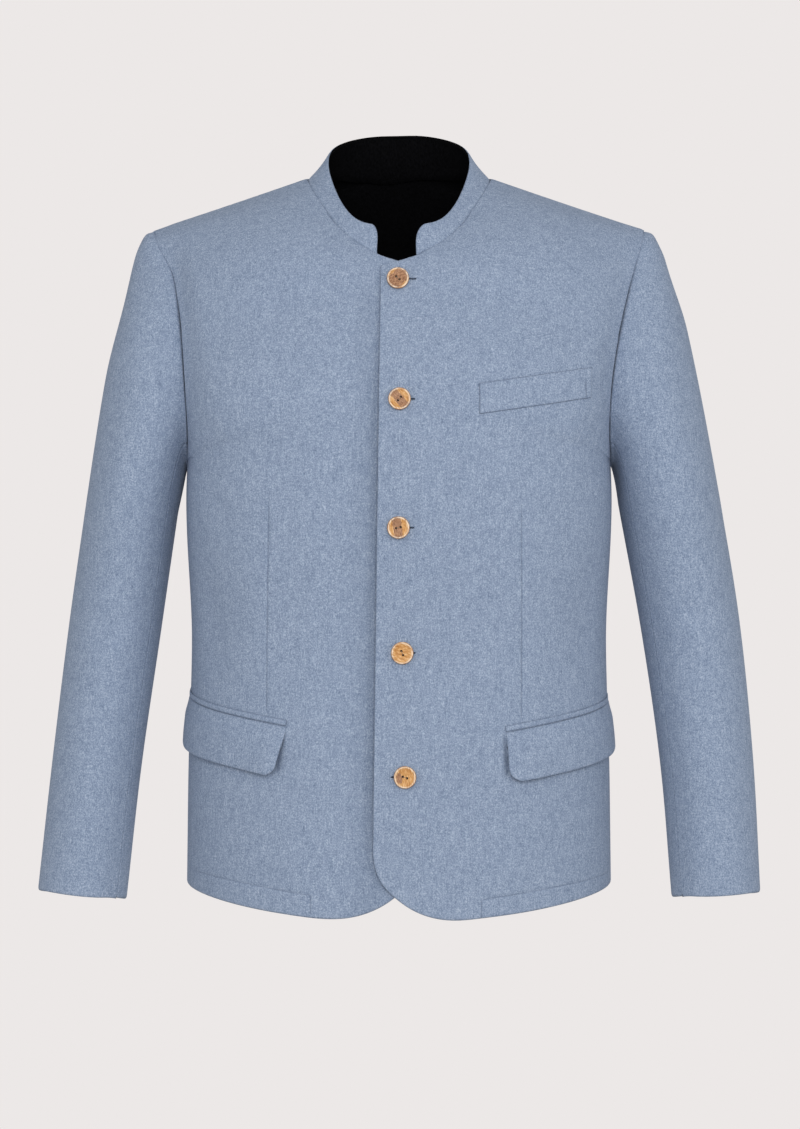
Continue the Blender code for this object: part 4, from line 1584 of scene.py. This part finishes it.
@dataclass
class Buttons:
    """Turned horn buttons with two thread holes, and the buttonholes behind them."""

    radius: float = 0.0105
    thickness: float = 0.0038
    rim_width: float = 0.0021
    dish: float = 0.0010
    hole_radius: float = 0.00112
    hole_spacing: float = 0.0041
    sides: int = 72
    hole_sides: int = 20
    bore: float = 4.0
    front_turn: float = 0.7
    # The profile: shares of the dish's reach and depth, shares of the rim with drops, and insets with drops
    dish_steps: tuple[tuple[float, float], ...] = ((0.0, 1.0), (0.55, 0.96), (0.86, 0.78), (1.0, 0.30))
    rim_steps: tuple[tuple[float, float], ...] = ((0.30, 0.00004), (0.60, 0.0), (0.84, 0.0003), (1.0, 0.0011))
    back_steps: tuple[tuple[float, float], ...] = ((0.0001, 0.0018), (0.0012, 0.0034), (0.0018, 0.0038))
    # The thread: its strands, how far they lie apart and arch, and how deep the strands lie; and the dark
    # plugs of painted shade in the holes, and how deep they lie
    strand: float = 0.00013
    strand_gap: float = 0.00014
    strand_sides: int = 8
    strand_steps: int = 14
    strand_arch: float = 0.24
    strand_drop: float = 0.0003
    plug_drop: float = 0.0012
    plug_fill: float = 0.97
    plug_height: float = 0.5
    plug_rounds: int = 2
    # The buttonhole: its slit, the ring of stitches and one stitch, and how far it lies off the cloth
    slit_sides: int = 36
    slit_half: float = 0.0006
    ring_half: float = 0.0009
    ring_lean: float = 0.35
    stitches: int = 46
    stitch_size: Triple = (0.0008, 0.00026, 0.00024)
    stitch_rounds: int = 1
    slit_lift: float = 0.00015
    slit_search: float = 0.05
    # The finishes of the horn, of the threads through it and around the slit, of the slit's dark disc of
    # painted shade, and of the painted shade down in the holes
    horn: HornFinish = HornFinish()
    thread: ThreadFinish = ThreadFinish("pale_thread", (0.20, 0.13, 0.09), (0.36, 0.26, 0.19))
    slit: ThreadFinish = ThreadFinish("dark_thread_and_slit_shade", (0.020, 0.028, 0.045), (0.055, 0.075, 0.115))
    core: ThreadFinish = ThreadFinish("painted_hole_shade", (0.006, 0.004, 0.003), (0.018, 0.013, 0.010))
    looks: tuple[ButtonLook, ...] = (
        ButtonLook("button_1", -43.0, -48.0, 0.02, 0.70, 3.00, 3.1, -0.004, 0.0168),
        ButtonLook("button_2", 53.0, 40.0, -0.03, 0.40, 4.00, 7.4, -0.004, 0.0142),
        ButtonLook("button_3", 12.0, 6.0, -0.08, 0.40, 4.00, 12.6, -0.004, 0.0142),
        ButtonLook("button_4", -68.0, 70.0, 1.60, 0.50, 2.00, 21.3, -0.004, 0.0118),
        ButtonLook("button_5", -20.0, 8.0, -0.52, 0.27, 0.50, 33.8, -0.0128, 0.006),
    )

    def build(self, front: bpy.types.Object) -> None:
        """Make every button and buttonhole.

        Args:
            front: The front that they lie on.
        """
        finishes = (self.horn, self.thread, self.slit, self.core)
        horn, thread, slit, core = (finish.material() for finish in finishes)
        ground = BVHTree.FromObject(front, bpy.context.evaluated_depsgraph_get())
        for look in self.looks:
            place = self.stand(look)
            self.disc(look, place, horn)
            self.stitch(look, place, thread)
            self.hole_shade_plugs(look, place, core)
            self.buttonhole(look, place, slit, ground)
            LOG.info("%s is in place", look.node)

    def stand(self, look: ButtonLook) -> Matrix:
        """Where a button stands.

        Args:
            look: The button.

        Returns:
            The turn and place of its back face.
        """
        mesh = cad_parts[look.node].data
        middle = point_rows(mesh).mean(axis=0)
        shown = [face for face in mesh.polygons if face.normal.y < -self.front_turn]
        out = sum((face.normal * face.area for face in shown), Vector()).normalized()
        foot = Vector(middle) - out * 0.5 * self.thickness
        right = Vector((0.0, 0.0, 1.0)).cross(out).normalized()
        up = out.cross(right)
        turn = Matrix((right, up, out)).transposed().to_4x4()
        return Matrix.Translation(foot) @ turn

    def disc(self, look: ButtonLook, place: Matrix, horn: bpy.types.Material) -> None:
        """Turn a button and bore its two holes.

        Args:
            look: The button.
            place: Where it stands.
            horn: Its finish.
        """
        inner = self.radius - self.rim_width
        top = self.thickness
        profile = (
            *((share * inner, top - self.dish * depth) for share, depth in self.dish_steps),
            *((inner + share * self.rim_width, top - drop) for share, drop in self.rim_steps),
            *((self.radius - inset, top - drop) for inset, drop in self.back_steps),
            (0.0, 0.0),
        )
        edit = bmesh.new()
        points = [edit.verts.new((reach, 0.0, height)) for reach, height in profile]
        sides = [edit.edges.new(pair) for pair in zip(points, points[1:])]
        bmesh.ops.spin(
            edit,
            geom=points + sides,
            cent=(0.0, 0.0, 0.0),
            axis=(0.0, 0.0, 1.0),
            angle=math.tau,
            steps=self.sides,
            use_merge=True,
        )
        bmesh.ops.remove_doubles(edit, verts=edit.verts, dist=MERGE)
        bmesh.ops.recalc_face_normals(edit, faces=edit.faces)
        blank = loose_object("blank", edit)
        cutters = []
        for spot in self.hole_places(look):
            hole = bmesh.new()
            bmesh.ops.create_cone(
                hole,
                cap_ends=True,
                segments=self.hole_sides,
                radius1=self.hole_radius,
                radius2=self.hole_radius,
                depth=self.bore * top,
                matrix=spot,
            )
            cutters.append(loose_object("cutter", hole))
            bore = blank.modifiers.new("Bore", "BOOLEAN")
            bore.object = cutters[-1]
        edit = bmesh.new()
        edit.from_mesh(evaluated(blank))
        for helper in (blank, *cutters):
            bpy.data.objects.remove(helper)
        self.grain(edit, look)
        bmesh.ops.transform(edit, matrix=place, verts=edit.verts)
        piece = loose_object(f"{look.node}_horn", edit)
        piece.data.materials.append(horn)
        smooth_by_angle(piece)
        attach(piece, BODY)
        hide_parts(look.node)

    def hole_places(self, look: ButtonLook) -> list[Matrix]:
        """Where a button's two holes lie on it.

        Args:
            look: The button.

        Returns:
            The turn and place of each hole.
        """
        turn = Matrix.Rotation(math.radians(look.hole_turn), 4, "Z")
        return [turn @ Matrix.Translation((side * self.hole_spacing, 0.0, 0.0)) for side in (-0.5, 0.5)]

    def grain(self, edit: bmesh.types.BMesh, look: ButtonLook) -> None:
        """Lay the horn's bands over a button.

        Args:
            edit: The button, at its own origin.
            look: The button.
        """
        rim = edit.verts.layers.float.new(RIM_LAYER)
        blotch = edit.verts.layers.float.new(BLOTCH_LAYER)
        face_map = edit.loops.layers.uv.new(FACE_MAP)
        turn = Matrix.Rotation(math.radians(-look.band_turn), 2)
        inner = self.radius - self.rim_width
        for point in edit.verts:
            reach = math.hypot(point.co.x, point.co.y)
            point[rim] = min(1.0, max(0.0, (reach - inner) / self.rim_width))
            point[blotch] = (turn @ point.co.xy).y / self.radius / look.band_length
        for face in edit.faces:
            for corner in face.loops:
                across, along = turn @ corner.vert.co.xy / self.radius
                corner[face_map].uv = ((across - look.band_middle) / look.band_half, along + look.grain_start)

    def stitch(self, look: ButtonLook, place: Matrix, thread: bpy.types.Material) -> None:
        """Sew thread through a button's holes.

        Args:
            look: The button.
            place: Where it stands.
            thread: The thread's finish.
        """
        edit = bmesh.new()
        reach = 0.5 * self.hole_spacing
        for gap in (-self.strand_gap, self.strand_gap):
            ring = bmesh.ops.create_circle(
                edit,
                segments=self.strand_sides,
                radius=self.strand,
                matrix=Matrix.Translation((reach, gap, 0.0)),
            )["verts"]
            around = list({side for point in ring for side in point.link_edges})
            bmesh.ops.spin(
                edit,
                geom=ring + around,
                cent=(0.0, 0.0, 0.0),
                axis=(0.0, -1.0, 0.0),
                angle=math.pi,
                steps=self.strand_steps,
            )
        bmesh.ops.recalc_face_normals(edit, faces=edit.faces)
        bmesh.ops.scale(edit, vec=(1.0, 1.0, self.strand_arch), verts=edit.verts)
        height = self.thickness - self.dish - self.strand_drop
        rest = Matrix.Translation((0.0, 0.0, height)) @ Matrix.Rotation(math.radians(look.hole_turn), 4, "Z")
        bmesh.ops.transform(edit, matrix=place @ rest, verts=edit.verts)
        self.sewn(f"{look.node}_thread", edit, thread)

    def hole_shade_plugs(self, look: ButtonLook, place: Matrix, core: bpy.types.Material) -> None:
        """Fill the depth of a button's holes with near-black plugs: painted shade of the holes' depth.

        Args:
            look: The button.
            place: Where it stands.
            core: The finish of the painted shade.
        """
        edit = bmesh.new()
        rise = Matrix.Translation((0.0, 0.0, self.thickness - self.dish - self.plug_drop))
        size = Matrix.Diagonal((self.hole_radius, self.hole_radius, self.plug_height * self.hole_radius, 1.0))
        for spot in self.hole_places(look):
            rest = place @ spot @ rise @ size
            bmesh.ops.create_icosphere(
                edit, subdivisions=self.plug_rounds, radius=self.plug_fill, matrix=rest
            )
        self.sewn(f"{look.node}_knots", edit, core)

    def buttonhole(
        self, look: ButtonLook, place: Matrix, slit: bpy.types.Material, ground: BVHTree
    ) -> None:
        """Whip-stitch a buttonhole on the front, around a dark disc that is painted shade in the slit.

        Args:
            look: The button.
            place: Where the button stands.
            slit: The finish of the stitches, and of the slit's disc of painted shade.
            ground: The front's surface.
        """
        edit = bmesh.new()
        half = 0.5 * (look.slit_end - look.slit_start)
        middle = 0.5 * (look.slit_end + look.slit_start)
        # The slit is a flat dark disc: painted shade where the opening lies in shadow
        bmesh.ops.create_circle(
            edit,
            cap_ends=True,
            segments=self.slit_sides,
            radius=1.0,
            matrix=Matrix.Diagonal((half, self.slit_half, 1.0, 1.0)),
        )
        size = Matrix.Diagonal((*self.stitch_size, 1.0))
        for number in range(self.stitches):
            turn = math.tau * number / self.stitches
            spot = Vector((half * math.cos(turn), self.ring_half * math.sin(turn), 0.0))
            lean = Matrix.Rotation(math.atan2(math.sin(turn), self.ring_lean * math.cos(turn)), 4, "Z")
            rest = Matrix.Translation(spot) @ lean @ size
            bmesh.ops.create_icosphere(edit, subdivisions=self.stitch_rounds, radius=1.0, matrix=rest)
        bmesh.ops.translate(edit, vec=(middle, 0.0, 0.0), verts=edit.verts)
        centre = place.translation
        for point in edit.verts:
            start = Vector((centre.x + point.co.x, centre.y - self.slit_search, centre.z + point.co.y))
            hit, normal, _, _ = ground.ray_cast(start, Vector((0.0, 1.0, 0.0)))
            point.co = hit + normal * (point.co.z + self.slit_lift)
        self.sewn(f"{look.node}_buttonhole", edit, slit)

    def sewn(self, name: str, edit: bmesh.types.BMesh, thread: bpy.types.Material) -> None:
        """Make a small piece, of thread or of painted shade, and join it to the frame.

        Args:
            name: Its name.
            edit: Its edit mesh, which is freed.
            thread: Its finish.
        """
        piece = loose_object(name, edit)
        piece.data.materials.append(thread)
        piece.data.shade_smooth()
        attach(piece, BODY)


def loose_object(name: str, edit: bmesh.types.BMesh) -> bpy.types.Object:
    """An object made from an edit mesh, at the origin.

    Args:
        name: Its name.
        edit: The edit mesh, which is freed.

    Returns:
        The object.
    """
    mesh = bpy.data.meshes.new(name)
    edit.to_mesh(mesh)
    edit.free()
    piece = bpy.data.objects.new(name, mesh)
    bpy.context.scene.collection.objects.link(piece)
    return piece


def smooth_by_angle(piece: bpy.types.Object) -> None:
    """Shade a piece smooth, apart from its sharp edges.

    Args:
        piece: The piece.
    """
    piece.data.shade_smooth()
    piece.data.set_sharp_from_angle(angle=SHARP_TURN)


@dataclass(frozen=True)
class SoftBox:
    """A soft studio light: where it stands, its size, its power and whether polished things mirror it."""

    name: str
    place: Triple
    width: float
    height: float
    power: float
    mirrored: bool = True


@dataclass
class Studio:
    """The camera, the soft lights and the pale floor."""

    camera_place: Triple = (0.001, -3.2, -0.372)
    sensor: float = 36.0
    floor_drop: float = 0.26
    floor_radius: float = 14.0
    floor_sides: int = 96
    pale: Triple = (0.8388, 0.8070, 0.7991)
    fill: float = 0.45
    aim: Triple = (0.0, 0.0, -0.36)
    lights: tuple[SoftBox, ...] = (
        SoftBox("left_box", (-1.9, -2.0, -0.10), 1.2, 1.8, 9.0),
        SoftBox("right_box", (2.0, -1.9, -0.05), 1.2, 1.8, 13.0),
        SoftBox("front_box", (0.1, -3.6, 0.4), 1.8, 1.4, 57.5, False),
        SoftBox("back_box", (0.4, 3.0, 0.8), 1.4, 1.2, 50.0, False),
    )

    def build(self) -> None:
        """Set up the studio."""
        self.camera()
        self.floor()
        self.world()
        for box in self.lights:
            self.light(box)
        bpy.context.scene.view_settings.view_transform = "Standard"

    def camera(self) -> None:
        """Place the camera as the photograph has it."""
        data = bpy.data.cameras.new("camera")
        data.sensor_fit = "VERTICAL"
        data.sensor_height = self.sensor
        data.lens = self.sensor * abs(self.camera_place[1]) / (PHOTO_HEIGHT * PIXEL)
        camera = bpy.data.objects.new("camera", data)
        camera.location = self.camera_place
        camera.rotation_euler = (math.radians(90.0), 0.0, 0.0)
        bpy.context.scene.collection.objects.link(camera)
        bpy.context.scene.camera = camera

    def floor(self) -> None:
        """Lay a pale floor below the jacket."""
        edit = bmesh.new()
        height = CAD_BOX[0].z - self.floor_drop
        bmesh.ops.create_circle(
            edit,
            cap_ends=True,
            segments=self.floor_sides,
            radius=self.floor_radius,
            matrix=Matrix.Translation((0.0, 0.0, height)),
        )
        floor = loose_object("floor", edit)
        paper = bpy.data.materials.new("pale_paper")
        paper.use_nodes = True
        tree = paper.node_tree
        glow = tree.nodes.new("ShaderNodeEmission")
        glow.inputs["Color"].default_value = (*self.pale, 1.0)
        tree.links.new(glow.outputs[0], tree.nodes["Material Output"].inputs["Surface"])
        floor.data.materials.append(paper)
        floor.visible_diffuse = False
        floor.visible_glossy = False

    def world(self) -> None:
        """Surround the jacket with pale paper that gives a weak fill light."""
        world = bpy.data.worlds.new("studio")
        world.use_nodes = True
        tree = world.node_tree
        shown = tree.nodes["Background"]
        shown.inputs["Color"].default_value = (*self.pale, 1.0)
        fill = tree.nodes.new("ShaderNodeBackground")
        fill.inputs["Color"].default_value = (1.0, 1.0, 1.0, 1.0)
        fill.inputs["Strength"].default_value = self.fill
        path = tree.nodes.new("ShaderNodeLightPath")
        choice = tree.nodes.new("ShaderNodeMixShader")
        tree.links.new(path.outputs["Is Camera Ray"], choice.inputs[0])
        tree.links.new(fill.outputs[0], choice.inputs[1])
        tree.links.new(shown.outputs[0], choice.inputs[2])
        tree.links.new(choice.outputs[0], tree.nodes["World Output"].inputs["Surface"])
        bpy.context.scene.world = world

    def light(self, box: SoftBox) -> None:
        """Hang a soft light, aimed at the jacket.

        Args:
            box: The light.
        """
        data = bpy.data.lights.new(box.name, "AREA")
        data.shape = "RECTANGLE"
        data.size = box.width
        data.size_y = box.height
        data.energy = box.power
        lamp = bpy.data.objects.new(box.name, data)
        lamp.location = box.place
        lamp.visible_glossy = box.mirrored
        lamp.rotation_euler = (Vector(self.aim) - Vector(box.place)).to_track_quat("-Z", "Y").to_euler()
        bpy.context.scene.collection.objects.link(lamp)


def main() -> None:
    """Dress the jacket and set up its studio."""
    logging.basicConfig(level=logging.INFO)
    Studio().build()
    wool = WoolFinish().material()
    lining = LiningFinish().material()
    made = {}
    fronts = Fronts()
    for group in (fronts, Back(), Sleeves(), Collar(), Pockets(fronts.folds)):
        for cloth in group.pieces():
            made[cloth.node] = cloth.build(wool, lining)
            marks = ", ".join(mark.name for mark in (*cloth.folds, *cloth.lines)) or "no folds"
            LOG.info("%s has %d points, with %s", cloth.node, len(made[cloth.node].data.vertices), marks)
    Buttons().build(made["front_left"])


if __name__ == "__main__":
    main()
